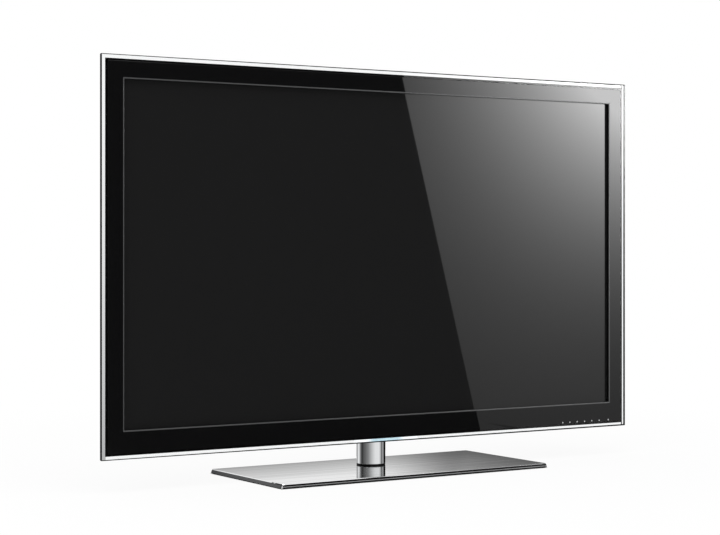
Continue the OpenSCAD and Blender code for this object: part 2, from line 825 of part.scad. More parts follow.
module drum(x, z, r, h) {
    rod(x, z, r, [pcb_back - pcb_t / 2, pcb_back + h]);
}

module main_board() {
    xc = (main_x0 + main_x1) / 2;
    zc = (board_z0 + board_z1) / 2;
    slots = [[lan_z, lan_w], [antenna_z, 2 * antenna_r]];
    color("#1f6b3c") difference() {
        union() {
            bare_board([main_x0, main_x1], [board_z0, board_z1], main_posts);
            chip(xc - 0.15 * main_w, zc, chip_w, chip_w, sink_h);
            for (s = [-1, 1])
                chip(xc + 0.12 * main_w, zc + s * chip_w, chip_w / 2, chip_w / 3, sink_h / 3);
            for (i = [-2:2])
                drum(xc - 0.15 * main_w + 2 * i * can_r, board_z0 + chip_w, 0.7 * can_r, sink_h);
            chip(main_x0 + plug_h, screen_zc, 2 * plug_h, ribbon_plug_w, plug_h);
            chip(main_x0 + plug_h, harness_z, 2 * plug_h, harness_plug_w, plug_h);
        }
        for (s = slots)
            block([main_x1 - 2 * socket_l - slip_gap, main_x1 + far], [pcb_front - far, pcb_back + far],
                [s[0] - s[1] / 2 - slip_gap, s[0] + s[1] / 2 + slip_gap]);
    }
}

module power_board() {
    xc = (power_x0 + power_x1) / 2;
    zc = (board_z0 + board_z1) / 2;
    span = power_x1 - power_x0;
    color("#7a6a35") difference() {
        union() {
            bare_board([power_x0, power_x1], [board_z0, board_z1], power_posts);
            for (s = [-1, 1]) chip(xc + s * 0.17 * span, zc, chip_w, 0.8 * chip_w, coil_h);
            for (s = [-1, 1]) chip(xc, zc + s * 1.1 * chip_w, span / 2, 2 * plug_h, coil_h);
            for (i = [-1:2]) drum(xc + 3 * i * can_r, board_z0 + chip_w, can_r, coil_h);
            chip(power_x1 - plug_h, harness_z, 2 * plug_h, harness_plug_w, plug_h);
        }
        block([power_x0 - far, inlet_x + inlet_l + slip_gap], [pcb_front - far, pcb_back + far],
            [inlet_z - inlet_w / 2 - slip_gap, inlet_z + inlet_w / 2 + slip_gap]);
    }
}

module timing_board() {
    color("#1f5f6b") union() {
        bare_board([-timing_half, timing_half], [timing_z0, timing_z1], timing_posts);
        chip(0, screen_zc, timing_h / 2.5, timing_h / 2.5, sink_h / 2.5);
        for (s = [-1, 1])
            chip(s * timing_half / 2, timing_z0 + timing_h / 4, timing_h / 5, timing_h / 6, sink_h / 3);
        chip(timing_half - plug_h, screen_zc, 2 * plug_h, ribbon_plug_w, plug_h);
        for (s = [-1, 1]) chip(s * source_ribbon_x, timing_z1 - plug_h, ribbon_plug_w, 2 * plug_h, plug_h);
    }
}

module source_boards() {
    back = tray_front + thin_pcb_t;
    plug = ribbon_plug_w / 2;
    color("#1f5f6b") for (s = [-1, 1]) union() {
        ends = [s * source_x0, s * source_x1];
        block([min(ends), max(ends)], [tray_front, back], [source_z0, source_z1]);
        block([s * source_ribbon_x - plug, s * source_ribbon_x + plug],
            [tray_front + thin_pcb_t / 2, pcb_back + plug_h], [source_z0, source_z0 + 2 * plug_h]);
    }
}

module board_standoffs() {
    color("#b8a45c") for (p = posts) difference() {
        rod(p[0], p[1], standoff_r, [chassis_back, pcb_front]);
        rod(p[0], p[1], screw_r + thread_gap, [chassis_back + tip_gap, pcb_front + far]);
    }
}

module board_screws() {
    color("#c9ccce") for (p = posts) screw(p[0], p[1], chassis_back + 2 * tip_gap, pcb_back + seat_gap);
}

module picture_ribbon() {
    half = ribbon_w / 2;
    color("#d8d8d2") block([timing_half, main_x0], [ribbon_d, ribbon_d + ribbon_t],
        [screen_zc - half, screen_zc + half]);
}

module source_ribbons() {
    half = ribbon_w / 2;
    color("#d8d8d2") for (s = [-1, 1])
        block([s * source_ribbon_x - half, s * source_ribbon_x + half], [ribbon_d, ribbon_d + ribbon_t],
            [timing_z1, source_z0]);
}

module power_harness() {
    color("#b03a2e") for (i = [0:wire_count - 1])
        translate([power_x1, panel_y + ribbon_d, harness_z + wire_pitch * (i - (wire_count - 1) / 2)])
            rotate([0, 90, 0]) cylinder(r = wire_r, h = main_x0 - power_x1);
}

module speaker_box(s) {
    ends = [s * speaker_x0, s * speaker_x1];
    color("#222426") difference() {
        block([min(ends), max(ends)], [tray_front, speaker_back], [speaker_z0, speaker_z1]);
        rod(s * woofer_x, cone_z, woofer_r + slip_gap, [speaker_back - cone_h, speaker_back + far]);
        rod(s * tweeter_x, cone_z, tweeter_r + slip_gap, [speaker_back - cone_h, speaker_back + far]);
    }
}

module speaker_left() {
    speaker_box(-1);
}

module speaker_right() {
    speaker_box(1);
}

// Cone with a raised rim and a dust cap
module cone(x, r) {
    translate([x, panel_y + speaker_back, cone_z]) rotate([-90, 0, 0]) rotate_extrude()
        polygon([[0, -cone_h], [r, -cone_h], [r, 0], [0.85 * r, 0], [0.8 * r, -0.4 * cone_h],
            [0.35 * r, -0.8 * cone_h], [0.3 * r, -0.5 * cone_h], [0, -0.35 * cone_h]]);
}

module speaker_drivers() {
    color("#2d2f31") for (s = [-1, 1]) {
        cone(s * woofer_x, woofer_r);
        cone(s * tweeter_x, tweeter_r);
    }
}

module rear_cover() {
    lead = cover_inner + wall / 2;
    color("#1a1b1c") difference() {
        union() {
            difference() {
                tapered([level(body(split_d + seam_gap), split_d + seam_gap), level(body(body_d), body_d)]);
                tapered([level(grow(body(split_d), -wall_run), split_d),
                    level(grow(body(cover_inner), -wall_run), cover_inner)]);
            }
            for (s = cover_spots) rod(s[0], s[1], boss_r, [chassis_back + seat_gap, lead]);
        }
        for (s = cover_spots) {
            rod(s[0], s[1], screw_r + slip_gap, [split_d, body_d + far]);
            rod(s[0], s[1], head_r + slip_gap, [body_d - well_d, body_d + far]);
        }
        for (x = [-1, 1], z = [-1, 1])
            rod(x * mount_pitch / 2, screen_zc + z * mount_pitch / 2, mount_bush_r + slip_gap,
                [cover_inner - far, body_d + far]);
        for (s = stand_spots)
            rod(s[0], s[1], stand_screw_r + slip_gap, [cover_inner - far, body_d + far]);
        window([bay_x0 + tray_t, bay_x1 - tray_t], [bay_z0 + tray_t, bay_z1 - tray_t]);
        window([-bay_x1 + tray_t, inlet_x - tray_t], [bay_z0 + tray_t, bay_z0 + inlet_bay_h - tray_t]);
        for (s = [-1, 1]) {
            for (x = vent_runs) window([min(s * x), max(s * x)], [vent_z0, vent_z1]);
            window([min(s * sound_x), max(s * sound_x)], sound_z);
        }
    }
}

// Opening through the flat of the rear cover
module window(x, z) {
    block(x, [cover_inner - mouth_cut, body_d + far], z);
}

// Slotted plate behind a window
module grille(x, z) {
    count = floor((x[1] - x[0] - slot_w) / slot_pitch);
    start = (x[0] + x[1] - (count - 1) * slot_pitch - slot_w) / 2;
    difference() {
        block([x[0] - grille_lap, x[1] + grille_lap], [grille_front, parts_back],
            [z[0] - grille_lap, z[1] + grille_lap]);
        for (i = [0:count - 1])
            block([start + i * slot_pitch, start + i * slot_pitch + slot_w],
                [grille_front - far, parts_back + far], [z[0] + slot_edge, z[1] - slot_edge]);
    }
}

module vent_grilles() {
    color("#2a2c2d") for (s = [-1, 1], x = vent_runs) grille([min(s * x), max(s * x)], [vent_z0, vent_z1]);
}

module speaker_grilles() {
    color("#2a2c2d") for (s = [-1, 1]) grille([min(s * sound_x), max(s * sound_x)], sound_z);
}

module cover_screws() {
    color("#3c3f41") for (s = cover_spots)
        screw(s[0], s[1], chassis_front + slip_gap, body_d - well_d + seat_gap);
}

module wall_mount_bushes() {
    color("#b8a45c") for (x = [-1, 1], z = [-1, 1]) difference() {
        rod(x * mount_pitch / 2, screen_zc + z * mount_pitch / 2, mount_bush_r, [chassis_back, body_d]);
        rod(x * mount_pitch / 2, screen_zc + z * mount_pitch / 2, mount_r,
            [chassis_back + bush_floor, body_d + far]);
    }
}

// Open box between the chassis and the rear cover
module tray(x, z) {
    difference() {
        block(x, [tray_front, parts_back], z);
        block([x[0] + tray_t, x[1] - tray_t], [tray_floor, parts_back + far], [z[0] + tray_t, z[1] - tray_t]);
    }
}

// Hole in the bay's inner wall for a socket
module port(z, w, d) {
    block([bay_x0 - far, mouth_x + mouth_cut], [d[0] - seat_gap, d[1] + seat_gap],
        [z - w / 2 - slip_gap, z + w / 2 + slip_gap]);
}

module jack_tray() {
    color("#232526") difference() {
        tray([bay_x0, bay_x1], [bay_z0, bay_z1]);
        for (z = hdmi_z) port(z, hdmi_w, [pcb_back, pcb_back + hdmi_h]);
        for (z = usb_z) port(z, usb_w, [pcb_back, pcb_back + usb_h]);
        port(lan_z, lan_w, lan_d);
        port(optical_z, optical_w, [pcb_back, pcb_back + optical_h]);
        for (z = jack_z) port(z, jack_w, [pcb_back, pcb_back + usb_h]);
        port(antenna_z, 2 * antenna_r, [antenna_d - antenna_r, antenna_d + antenna_r]);
    }
}

// Socket that opens into the bay
module socket(z, w, d, t, l) {
    difference() {
        block([mouth_x - l, mouth_x], d, [z - w / 2, z + w / 2]);
        block([mouth_x - l + 2 * t, mouth_x + mouth_cut], [d[0] + t, d[1] - t],
            [z - w / 2 + t, z + w / 2 - t]);
    }
}

module hdmi_sockets() {
    color("#b9bdc0") for (z = hdmi_z) socket(z, hdmi_w, [pcb_back, pcb_back + hdmi_h], shell_t, socket_l);
}

module usb_sockets() {
    color("#b9bdc0") for (z = usb_z) socket(z, usb_w, [pcb_back, pcb_back + usb_h], shell_t, socket_l);
}

module lan_socket() {
    color("#3a3c3e") socket(lan_z, lan_w, lan_d, block_t, 1.2 * socket_l);
}

module optical_socket() {
    color("#2a2b2c") socket(optical_z, optical_w, [pcb_back, pcb_back + optical_h], block_t, socket_l);
}

module audio_jacks() {
    color("#2a2b2c") for (z = jack_z) difference() {
        block([mouth_x - socket_l, mouth_x], [pcb_back, pcb_back + usb_h],
            [z - jack_w / 2, z + jack_w / 2]);
        translate([mouth_x - socket_l + socket_floor, panel_y + pcb_back + usb_h / 2, z]) rotate([0, 90, 0])
            cylinder(r = jack_r, h = socket_l);
    }
}

module antenna_socket() {
    can = [mouth_x - 2 * socket_l, mouth_x - tray_t - slip_gap];
    color("#c4c7c9") translate([0, panel_y + antenna_d, antenna_z]) difference() {
        union() {
            translate([can[0], -antenna_r, -antenna_r]) cube([can[1] - can[0], 2 * antenna_r, 2 * antenna_r]);
            translate([can[1] - tray_t, 0, 0]) rotate([0, 90, 0])
                cylinder(r = antenna_r, h = mouth_x - can[1] + tray_t);
        }
        translate([mouth_x - antenna_l, 0, 0]) rotate([0, 90, 0])
            cylinder(r = antenna_bore_r, h = antenna_l + mouth_cut);
    }
}

module inlet_tray() {
    color("#232526") difference() {
        tray([-bay_x1, inlet_x], [bay_z0, bay_z0 + inlet_bay_h]);
        block([inlet_x - tray_t - mouth_cut, inlet_x + far], [inlet_d[0] - seat_gap, inlet_d[1] + seat_gap],
            [inlet_z - inlet_w / 2 - slip_gap, inlet_z + inlet_w / 2 + slip_gap]);
    }
}

module mains_inlet() {
    mouth = inlet_x - tray_t;
    color("#202224") union() {
        difference() {
            block([mouth, inlet_x + inlet_l], inlet_d, [inlet_z - inlet_w / 2, inlet_z + inlet_w / 2]);
            block([mouth - mouth_cut, inlet_x + inlet_l - inlet_floor],
                [inlet_d[0] + block_t, inlet_d[1] - block_t],
                [inlet_z - inlet_w / 2 + 2 * block_t, inlet_z + inlet_w / 2 - 2 * block_t]);
        }
        for (s = [-1, 1])
            translate([mouth + pin_back, panel_y + inlet_d[0] + inlet_h / 2, inlet_z + s * pin_pitch / 2])
                rotate([0, 90, 0]) cylinder(r = pin_r, h = inlet_l);
    }
}

module stand_mount() {
    half = mount_plate_w / 2;
    front = parts_back - mount_plate_t;
    color("#8f9496") difference() {
        union() {
            block([-half, half], [front, parts_back], [mount_z0, mount_z1]);
            for (s = [-1, 1]) {
                leg = [s * half, s * (half - mount_plate_t)];
                block([min(leg), max(leg)], [chassis_back, parts_back], [mount_z0, mount_z1]);
            }
        }
        for (s = stand_spots) rod(s[0], s[1], stand_screw_r + thread_gap, [front - far, parts_back + far]);
    }
}

module stand_bracket() {
    half = bracket_w / 2;
    foot = bracket_half;
    rib_x = foot - rib_t;
    color("#1c1d1e") difference() {
        union() {
            block([-half, half], [plate_front, plate_back], [neck_z1, bracket_z1]);
            block([-foot, foot], [plate_front, body_d + neck_back], [neck_z1, foot_z1]);
            translate([0, neck_y, neck_z1]) cylinder(r = foot, h = bracket_foot_t);
            for (x = [-foot, rib_x]) translate([x, panel_y, 0]) rotate([90, 0, 90]) linear_extrude(rib_t)
                polygon([[plate_front + 1, neck_z1 + 1], [body_d + neck_back, neck_z1 + 1],
                    [body_d + neck_back, foot_z1 + 2], [plate_back, neck_z1 + bracket_h / 2],
                    [plate_front + 1, neck_z1 + bracket_h / 2]]);
        }
        for (s = stand_spots)
            rod(s[0], s[1], stand_screw_r + slip_gap, [plate_front - far, plate_back + far]);
        for (a = anchor_angles) neck_hole(a, neck_screw_r + slip_gap, [neck_z1 - far, foot_z1 + far]);
    }
}

// Round bar up through the neck's wall
module neck_hole(a, r, z) {
    translate([neck_mid * cos(a), neck_y + neck_mid * sin(a), z[0]]) cylinder(r = r, h = z[1] - z[0]);
}

module stand_screws() {
    seat = plate_back + seat_gap;
    color("#3c3f41") for (s = stand_spots) {
        rod(s[0], s[1], stand_screw_r, [parts_back - mount_plate_t, seat + stand_head_h / 2]);
        rod(s[0], s[1], stand_head_r, [seat, seat + stand_head_h]);
    }
}

module neck_screws() {
    seat = foot_z1 + seat_gap;
    color("#3c3f41") for (a = anchor_angles) {
        neck_hole(a, neck_screw_r, [neck_z1 - neck_screw_l + tip_gap, seat + head_h / 2]);
        neck_hole(a, head_r, [seat, seat + head_h]);
    }
}

module neck_tube() {
    color("#c8cccf") translate([0, neck_y, 0]) difference() {
        translate([0, 0, neck_z0]) cylinder(r = neck_r, h = neck_z1 - neck_z0);
        translate([0, 0, neck_z0 - far]) cylinder(r = neck_in, h = neck_z1 - neck_z0 + 2 * far);
        for (a = anchor_angles) translate([neck_mid * cos(a), neck_mid * sin(a), neck_z1 - neck_screw_l])
            cylinder(r = neck_screw_r + thread_gap, h = neck_screw_l + far);
        translate([0, 0, neck_z0 - far]) rotate([0, 0, 90 - slot_angle])
            rotate_extrude(angle = 2 * slot_angle)
                translate([neck_mid - stop_slot, 0]) square([2 * stop_slot, far + stop_slot_h]);
    }
}

// Bearing bush held in the neck that turns on the spindle
module bush(z) {
    color("#e3e0d4") translate([0, neck_y, z]) difference() {
        cylinder(r = neck_in - thread_gap, h = bush_h);
        translate([0, 0, -far]) cylinder(r = post_r + run_gap, h = bush_h + 2 * far);
    }
}

module lower_bush() {
    bush(lower_bush_z0);
}

module upper_bush() {
    bush(upper_bush_z0);
}

// Round bar up through the flange, plate or cover at the spindle's screws
module anchor_hole(a, r, z) {
    translate([anchor_pcd_r * cos(a), neck_y + anchor_pcd_r * sin(a), z[0]])
        cylinder(r = r, h = z[1] - z[0]);
}

module spindle() {
    color("#9ea2a4") difference() {
        translate([0, neck_y, 0]) union() {
            translate([0, 0, ballast_z1]) cylinder(r = flange_r, h = flange_h);
            translate([0, 0, ballast_z1]) cylinder(r = post_r, h = post_z1 - ballast_z1);
            translate([0, 0, ballast_z1]) cylinder(r = stud_r, h = stud_z1 - ballast_z1);
        }
        for (a = anchor_angles)
            anchor_hole(a, anchor_r + thread_gap, [ballast_z1 - far, anchor_tip + tip_gap]);
    }
}

module spindle_screws() {
    color("#3c3f41") for (a = anchor_angles) {
        anchor_hole(a, anchor_head_r, [anchor_seat - seat_gap - anchor_head_h, anchor_seat - seat_gap]);
        anchor_hole(a, anchor_r, [anchor_seat - seat_gap - anchor_head_h / 2, anchor_tip]);
    }
}

module retaining_washer() {
    color("#b5b8ba") translate([0, neck_y, washer_z0]) difference() {
        cylinder(r = neck_in - turn_gap, h = washer_t);
        translate([0, 0, -far]) cylinder(r = stud_r + thread_gap, h = washer_t + 2 * far);
    }
}

module lock_nut() {
    color("#8e9294") translate([0, neck_y, nut_z0]) difference() {
        cylinder(r = nut_key / sqrt(3), h = nut_h, $fn = 6);
        translate([0, 0, -far]) cylinder(r = stud_r + thread_gap, h = nut_h + 2 * far);
    }
}

module stop_pin() {
    color("#8e9294") translate([0, neck_y + neck_mid, stop_z0]) cylinder(r = stop_r, h = stop_z1 - stop_z0);
}

module swivel_ring() {
    color("#151617") translate([0, neck_y, base_h]) difference() {
        cylinder(r = neck_r - ring_gap, h = ring_h);
        translate([0, 0, -far]) cylinder(r = ring_in, h = ring_h + 2 * far);
        translate([0, neck_mid, -far]) cylinder(r = stop_r + thread_gap, h = ring_h + 2 * far);
    }
}

// Rounded rectangle round the base's middle
module base_plan(w, d, c) {
    square([w - 2 * c, d], center = true);
    square([w, d - 2 * c], center = true);
    for (x = [-1, 1], y = [-1, 1]) translate([x * (w / 2 - c), y * (d / 2 - c)]) circle(r = c);
}

// Block with sloping sides and a bevelled top, so much smaller than the base all round
module base_form(inset, bevel, z) {
    slope = base_draft / (base_h - foot_h);
    function radius(h) = base_corner_r - inset + slope * (base_h - h);
    hull() for (x = [-1, 1], y = [-1, 1])
        translate([x * (base_w / 2 - base_corner_r), y * (base_d / 2 - base_corner_r), 0]) {
            translate([0, 0, z[0]])
                cylinder(r1 = radius(z[0]), r2 = radius(z[1] - bevel), h = z[1] - bevel - z[0]);
            translate([0, 0, z[1] - bevel])
                cylinder(r1 = radius(z[1] - bevel), r2 = radius(z[1] - bevel) - bevel, h = bevel);
        }
}

module base_cover() {
    color("#b4b7ba") difference() {
        base_form(0, base_bevel, [foot_h, base_h]);
        base_form(base_skin, weld, [foot_h - mouth_cut, base_h - base_skin]);
        translate([0, neck_y, foot_h]) cylinder(r = ring_in, h = base_h);
        translate([0, neck_y + neck_mid, foot_h]) cylinder(r = stop_r + thread_gap, h = base_h);
    }
}

module base_ballast() {
    lap = 2 * (base_skin + slip_gap);
    color("#4a4d4f") difference() {
        translate([0, 0, foot_h]) linear_extrude(ballast_z1 - foot_h)
            base_plan(base_w - lap, base_d - lap, base_corner_r - base_skin);
        for (a = anchor_angles) {
            anchor_hole(a, anchor_r + slip_gap, [foot_h - far, ballast_z1 + far]);
            anchor_hole(a, anchor_head_r + slip_gap, [foot_h - far, anchor_seat]);
        }
        translate([0, neck_y + neck_mid, stop_z0]) cylinder(r = stop_r + thread_gap, h = base_h);
    }
}

module base_feet() {
    color("#1b1b1b") for (p = foot_spots) translate([p[0], p[1], 0]) cylinder(r = foot_r, h = foot_h);
}

front_bezel();
crystal_edge();
lcd_glass();
light_pipe();
panel_front_frame();
mid_frame();
brightness_film();
prism_sheet();
diffuser_sheet();
light_guide_plate();
reflector_sheet();
led_bars();
heat_bars();
rear_chassis();
bezel_screws();
touch_board();
indicator_board();
main_board();
power_board();
timing_board();
source_boards();
board_standoffs();
board_screws();
picture_ribbon();
source_ribbons();
power_harness();
speaker_left();
speaker_right();
speaker_drivers();
rear_cover();
vent_grilles();
speaker_grilles();
cover_screws();
wall_mount_bushes();
jack_tray();
hdmi_sockets();
usb_sockets();
lan_socket();
optical_socket();
audio_jacks();
antenna_socket();
inlet_tray();
mains_inlet();
stand_mount();
stand_bracket();
stand_screws();
neck_screws();
neck_tube();
lower_bush();
upper_bush();
spindle();
spindle_screws();
retaining_washer();
lock_nut();
stop_pin();
swivel_ring();
base_cover();
base_ballast();
base_feet();
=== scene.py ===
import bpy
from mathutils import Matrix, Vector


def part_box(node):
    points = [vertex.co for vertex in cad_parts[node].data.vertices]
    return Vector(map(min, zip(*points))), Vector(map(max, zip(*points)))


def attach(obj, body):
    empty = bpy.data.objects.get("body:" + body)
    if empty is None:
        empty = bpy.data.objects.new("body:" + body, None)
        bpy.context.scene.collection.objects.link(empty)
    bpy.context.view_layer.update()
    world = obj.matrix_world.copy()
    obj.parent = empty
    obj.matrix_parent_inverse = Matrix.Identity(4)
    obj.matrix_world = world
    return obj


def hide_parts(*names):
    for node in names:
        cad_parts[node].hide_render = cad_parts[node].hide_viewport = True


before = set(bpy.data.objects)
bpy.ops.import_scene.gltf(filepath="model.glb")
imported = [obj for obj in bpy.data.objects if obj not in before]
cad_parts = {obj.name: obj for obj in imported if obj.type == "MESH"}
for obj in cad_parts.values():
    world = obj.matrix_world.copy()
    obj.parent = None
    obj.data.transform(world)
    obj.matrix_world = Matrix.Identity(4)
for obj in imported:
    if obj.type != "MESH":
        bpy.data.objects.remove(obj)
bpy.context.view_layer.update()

import math

import bmesh
import bpy


# Feet: six moulded rubber discs under the ballast plate, which carry the set and keep it from sliding.
# The rubber is matt black with the fine spark-eroded grain of its mould.
class Feed:
    """One socket in a node tree, so that sums on it read as plain expressions."""

    def __init__(self, tree, socket=None):
        self.tree = tree
        self.socket = socket

    def node(self, kind, settings=None, inputs=None, output=0):
        made = self.tree.nodes.new(kind)
        for name, value in (settings or {}).items():
            if name == "stops":
                for spot, level in value:
                    stop = made.color_ramp.elements.new(spot)
                    stop.color = (level, level, level, 1.0)
                made.color_ramp.elements.remove(made.color_ramp.elements[0])
                made.color_ramp.elements.remove(made.color_ramp.elements[-1])
            else:
                setattr(made, name, value)
        for name, value in (inputs or {}).items():
            for item in value if isinstance(value, list) else [value]:
                if isinstance(item, Feed):
                    self.tree.links.new(item.socket, made.inputs[name])
                else:
                    made.inputs[name].default_value = item
        return Feed(self.tree, made.outputs[output]) if len(made.outputs) else None

    def sum(self, operation, first, second=0.0):
        return self.node("ShaderNodeMath", {"operation": operation}, {0: first, 1: second})

    def __add__(self, other):
        return self.sum("ADD", self, other)

    def __sub__(self, other):
        return self.sum("SUBTRACT", self, other)

    def __rsub__(self, other):
        return self.sum("SUBTRACT", other, self)

    def __mul__(self, other):
        return self.sum("MULTIPLY", self, other)

    def __truediv__(self, other):
        return self.sum("DIVIDE", self, other)

    def __lt__(self, other):
        return self.sum("LESS_THAN", self, other)

    def __gt__(self, other):
        return self.sum("GREATER_THAN", self, other)

    def __abs__(self):
        return self.sum("ABSOLUTE", self)

    __radd__ = __add__
    __rmul__ = __mul__


def new_finish(name):
    """Starts a material and gives the Object coordinates in its tree."""
    material = bpy.data.materials.new(name)
    material.use_nodes = True
    material.node_tree.nodes.clear()
    return material, Feed(material.node_tree).node("ShaderNodeTexCoord", output="Object")


def along(place, axis):
    return place.node("ShaderNodeSeparateXYZ", {}, {0: place}, axis)


def grain(place, per_metre, detail=2.0):
    """Noise from 0 to 1 with so many waves to the metre, given as one number or for X, Y and Z."""
    waves = per_metre if isinstance(per_metre, tuple) else (per_metre,) * 3
    spread = place.node("ShaderNodeVectorMath", {"operation": "MULTIPLY"}, {0: place, 1: waves})
    return place.node("ShaderNodeTexNoise", {}, {"Vector": spread, "Scale": 1.0, "Detail": detail})


def tint(amount, dark, light):
    """Colour that goes from dark to light with the amount."""
    ends = [end if isinstance(end, Feed) else (*end, 1.0) for end in (dark, light)]
    return amount.node("ShaderNodeMix", {"data_type": "RGBA"}, {0: amount, 6: ends[0], 7: ends[1]}, 2)


def relief(height, depth, strength=1.0):
    return height.node("ShaderNodeBump", {}, {"Strength": strength, "Distance": depth, "Height": height})


def shade(place, sockets):
    shader = place.node("ShaderNodeBsdfPrincipled", {}, sockets)
    place.node("ShaderNodeOutputMaterial", {}, {"Surface": shader})


def dress(material, *names):
    """Gives CAD nodes that stay as they are their finish."""
    for name in names:
        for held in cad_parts[name].material_slots:
            held.material = material


foot_rubber, place = new_finish("foot_rubber")
speck = grain(place, 2600)
shade(place, {"Base Color": tint(grain(place, 40), (0.018, 0.018, 0.018), (0.036, 0.035, 0.034)),
              "Roughness": 0.72 + 0.2 * speck, "Normal": relief(speck, 0.00006)})
dress(foot_rubber, "base_feet")


# Ballast: a thick steel plate inside the base that keeps the set from tipping.
# It is laser cut and phosphate coated, so it is a cloudy dark grey.
phosphate, place = new_finish("phosphate_steel")
cloud = grain(place, 28, 4.0)
shade(place, {"Base Color": tint(cloud, (0.075, 0.078, 0.082), (0.15, 0.155, 0.16)), "Metallic": 0.6,
              "Roughness": 0.5 + 0.25 * grain(place, 300),
              "Normal": relief(grain(place, 900), 0.00004)})
dress(phosphate, "base_ballast")


# Base: a pressed metal cover over the ballast, brushed along its length and clear coated.
# Its bevelled upper edge is bare and bright, and its corners carry a painted highlight. Its sloping sides are
# darkened with painted shade, most on the front, and a painted highlight line runs along the front.
def fitted(name, mesh, material, body, nodes=(), radius=0.0):
    """Puts a finished mesh into the set, in the place of CAD nodes where it stands for them."""
    crease = math.radians(22)
    piece = bpy.data.objects.new(name, mesh)
    bpy.context.scene.collection.objects.link(piece)
    mesh.materials.clear()
    mesh.materials.append(material)
    mesh.shade_smooth()
    mesh.set_sharp_from_angle(angle=crease)
    if radius:
        edge = piece.modifiers.new("soft_edges", "BEVEL")
        edge.width = radius
        edge.segments = 2
        edge.limit_method = "ANGLE"
        edge.angle_limit = crease
        flat = piece.modifiers.new("flat_faces", "WEIGHTED_NORMAL")
        flat.weight = 100
        flat.keep_sharp = True
        whole = piece.evaluated_get(bpy.context.evaluated_depsgraph_get())
        piece.data = bpy.data.meshes.new_from_object(whole)
        piece.modifiers.clear()
    if nodes:
        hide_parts(*nodes)
    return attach(piece, body)


def softened(node, radius, material, body):
    """Copy of a CAD solid with its edges rounded, which stands for the solid."""
    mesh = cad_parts[node].data.copy()
    shell = bmesh.new()
    shell.from_mesh(mesh)
    bmesh.ops.remove_doubles(shell, verts=shell.verts, dist=0.000002)
    bmesh.ops.dissolve_limit(shell, angle_limit=math.radians(0.4), verts=shell.verts, edges=shell.edges)
    shell.to_mesh(mesh)
    shell.free()
    return fitted(node + "_soft", mesh, material, body, [node], radius)


def eased(value, start, end, low=0.0, high=1.0, curve="LINEAR"):
    """Goes from low to high while the value goes from start to end."""
    return value.node("ShaderNodeMapRange", {"interpolation_type": curve}, {
        "Value": value, "From Min": start, "From Max": end, "To Min": low, "To Max": high})


brushed, place = new_finish("brushed_base")
base_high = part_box("base_cover")[1]
top_play, lip_height, corner_width, flank_width = 0.000004, 0.0010, 0.0034, 0.0035
highlight_line_drop, highlight_line_half = 0.0044, 0.0007
bare_metal_and_glint = (0.88, 0.885, 0.89)
hair = grain(place, (6, 2200, 40), 3.0)
band = eased(grain(place, (1.1, 75, 10), 3.0), 0.34, 0.66)
drop = base_high.z - along(place, "Z")
side = drop > lip_height
flat_top = drop < top_play
lip = (1.0 - flat_top) * (1.0 - side)
flank = abs(along(place, "X")) > base_high.x - flank_width
corner = ((abs(along(place, "X")) > base_high.x - corner_width)
          * (abs(along(place, "Y")) > base_high.y - corner_width))
# Painted highlight: the corners of the sloping sides take the bright colour of the bare bevel.
bright = place.sum("MAXIMUM", lip, corner * side)
# Painted highlight: a paler, non-metallic line along the front side at this drop.
highlight_line = abs(drop - highlight_line_drop) < highlight_line_half
top_colour = tint(0.3 * hair + 0.7 * band, (0.32, 0.325, 0.33), bare_metal_and_glint)
# Painted shade: the sloping sides are coloured dark, darkest on the front and paler at the ends.
front_painted_shade = tint(highlight_line, (0.022, 0.022, 0.023), (0.24, 0.242, 0.245))
side_painted_shade = tint(flank, front_painted_shade, (0.075, 0.076, 0.078))
colour = tint(bright, tint(side, top_colour, side_painted_shade), bare_metal_and_glint)
facing = place.node("ShaderNodeLayerWeight", {}, {"Blend": 0.5}, "Facing")
steep = eased(facing, 0.4, 0.82, 0.3, 0.0)
shade(place, {"Base Color": colour, "Metallic": 1.0 - highlight_line * (1.0 - flank),
              "Roughness": 0.06 + 0.06 * hair + 0.12 * side + flat_top * steep,
              "Coat Weight": 0.5 * flat_top, "Coat Roughness": 0.03,
              "Normal": relief(hair, 0.00002, 0.4)})
softened("base_cover", 0.0, brushed, "base")


# Spindle: a turned steel post screwed up through the ballast, on which the set swivels.
# Its washer, lock nut, stop pin and four screws are plain and black zinc steel.
turned_steel, place = new_finish("turned_steel")
ring = grain(place, (60, 60, 2400), 1.0)
shade(place, {"Base Color": tint(ring, (0.42, 0.43, 0.44), (0.6, 0.61, 0.62)), "Metallic": 1.0,
              "Roughness": 0.26 + 0.14 * ring, "Normal": relief(ring, 0.00002)})
dress(turned_steel, "spindle", "retaining_washer", "lock_nut", "stop_pin")

screw_black, place = new_finish("screw_black")
worn = grain(place, 700, 3.0)
shade(place, {"Base Color": tint(worn, (0.05, 0.05, 0.054), (0.13, 0.13, 0.135)), "Metallic": 0.9,
              "Roughness": 0.3 + 0.25 * worn, "Normal": relief(worn, 0.00002)})


def new_tree(name, sizes):
    """Starts a tree of Geometry Nodes with named sizes, and gives its inputs and their keys."""
    tree = bpy.data.node_groups.new(name, "GeometryNodeTree")
    tree.interface.new_socket("Geometry", in_out="OUTPUT", socket_type="NodeSocketGeometry")
    tree.interface.new_socket("Points", in_out="INPUT", socket_type="NodeSocketGeometry")
    keys = {size: tree.interface.new_socket(size, in_out="INPUT", socket_type="NodeSocketFloat").identifier
            for size in sizes}
    keys["Finish"] = tree.interface.new_socket(
        "Finish", in_out="INPUT", socket_type="NodeSocketMaterial").identifier
    start = tree.nodes.new("NodeGroupInput")
    return keys, {item.name: Feed(tree, item) for item in start.outputs if item.name}


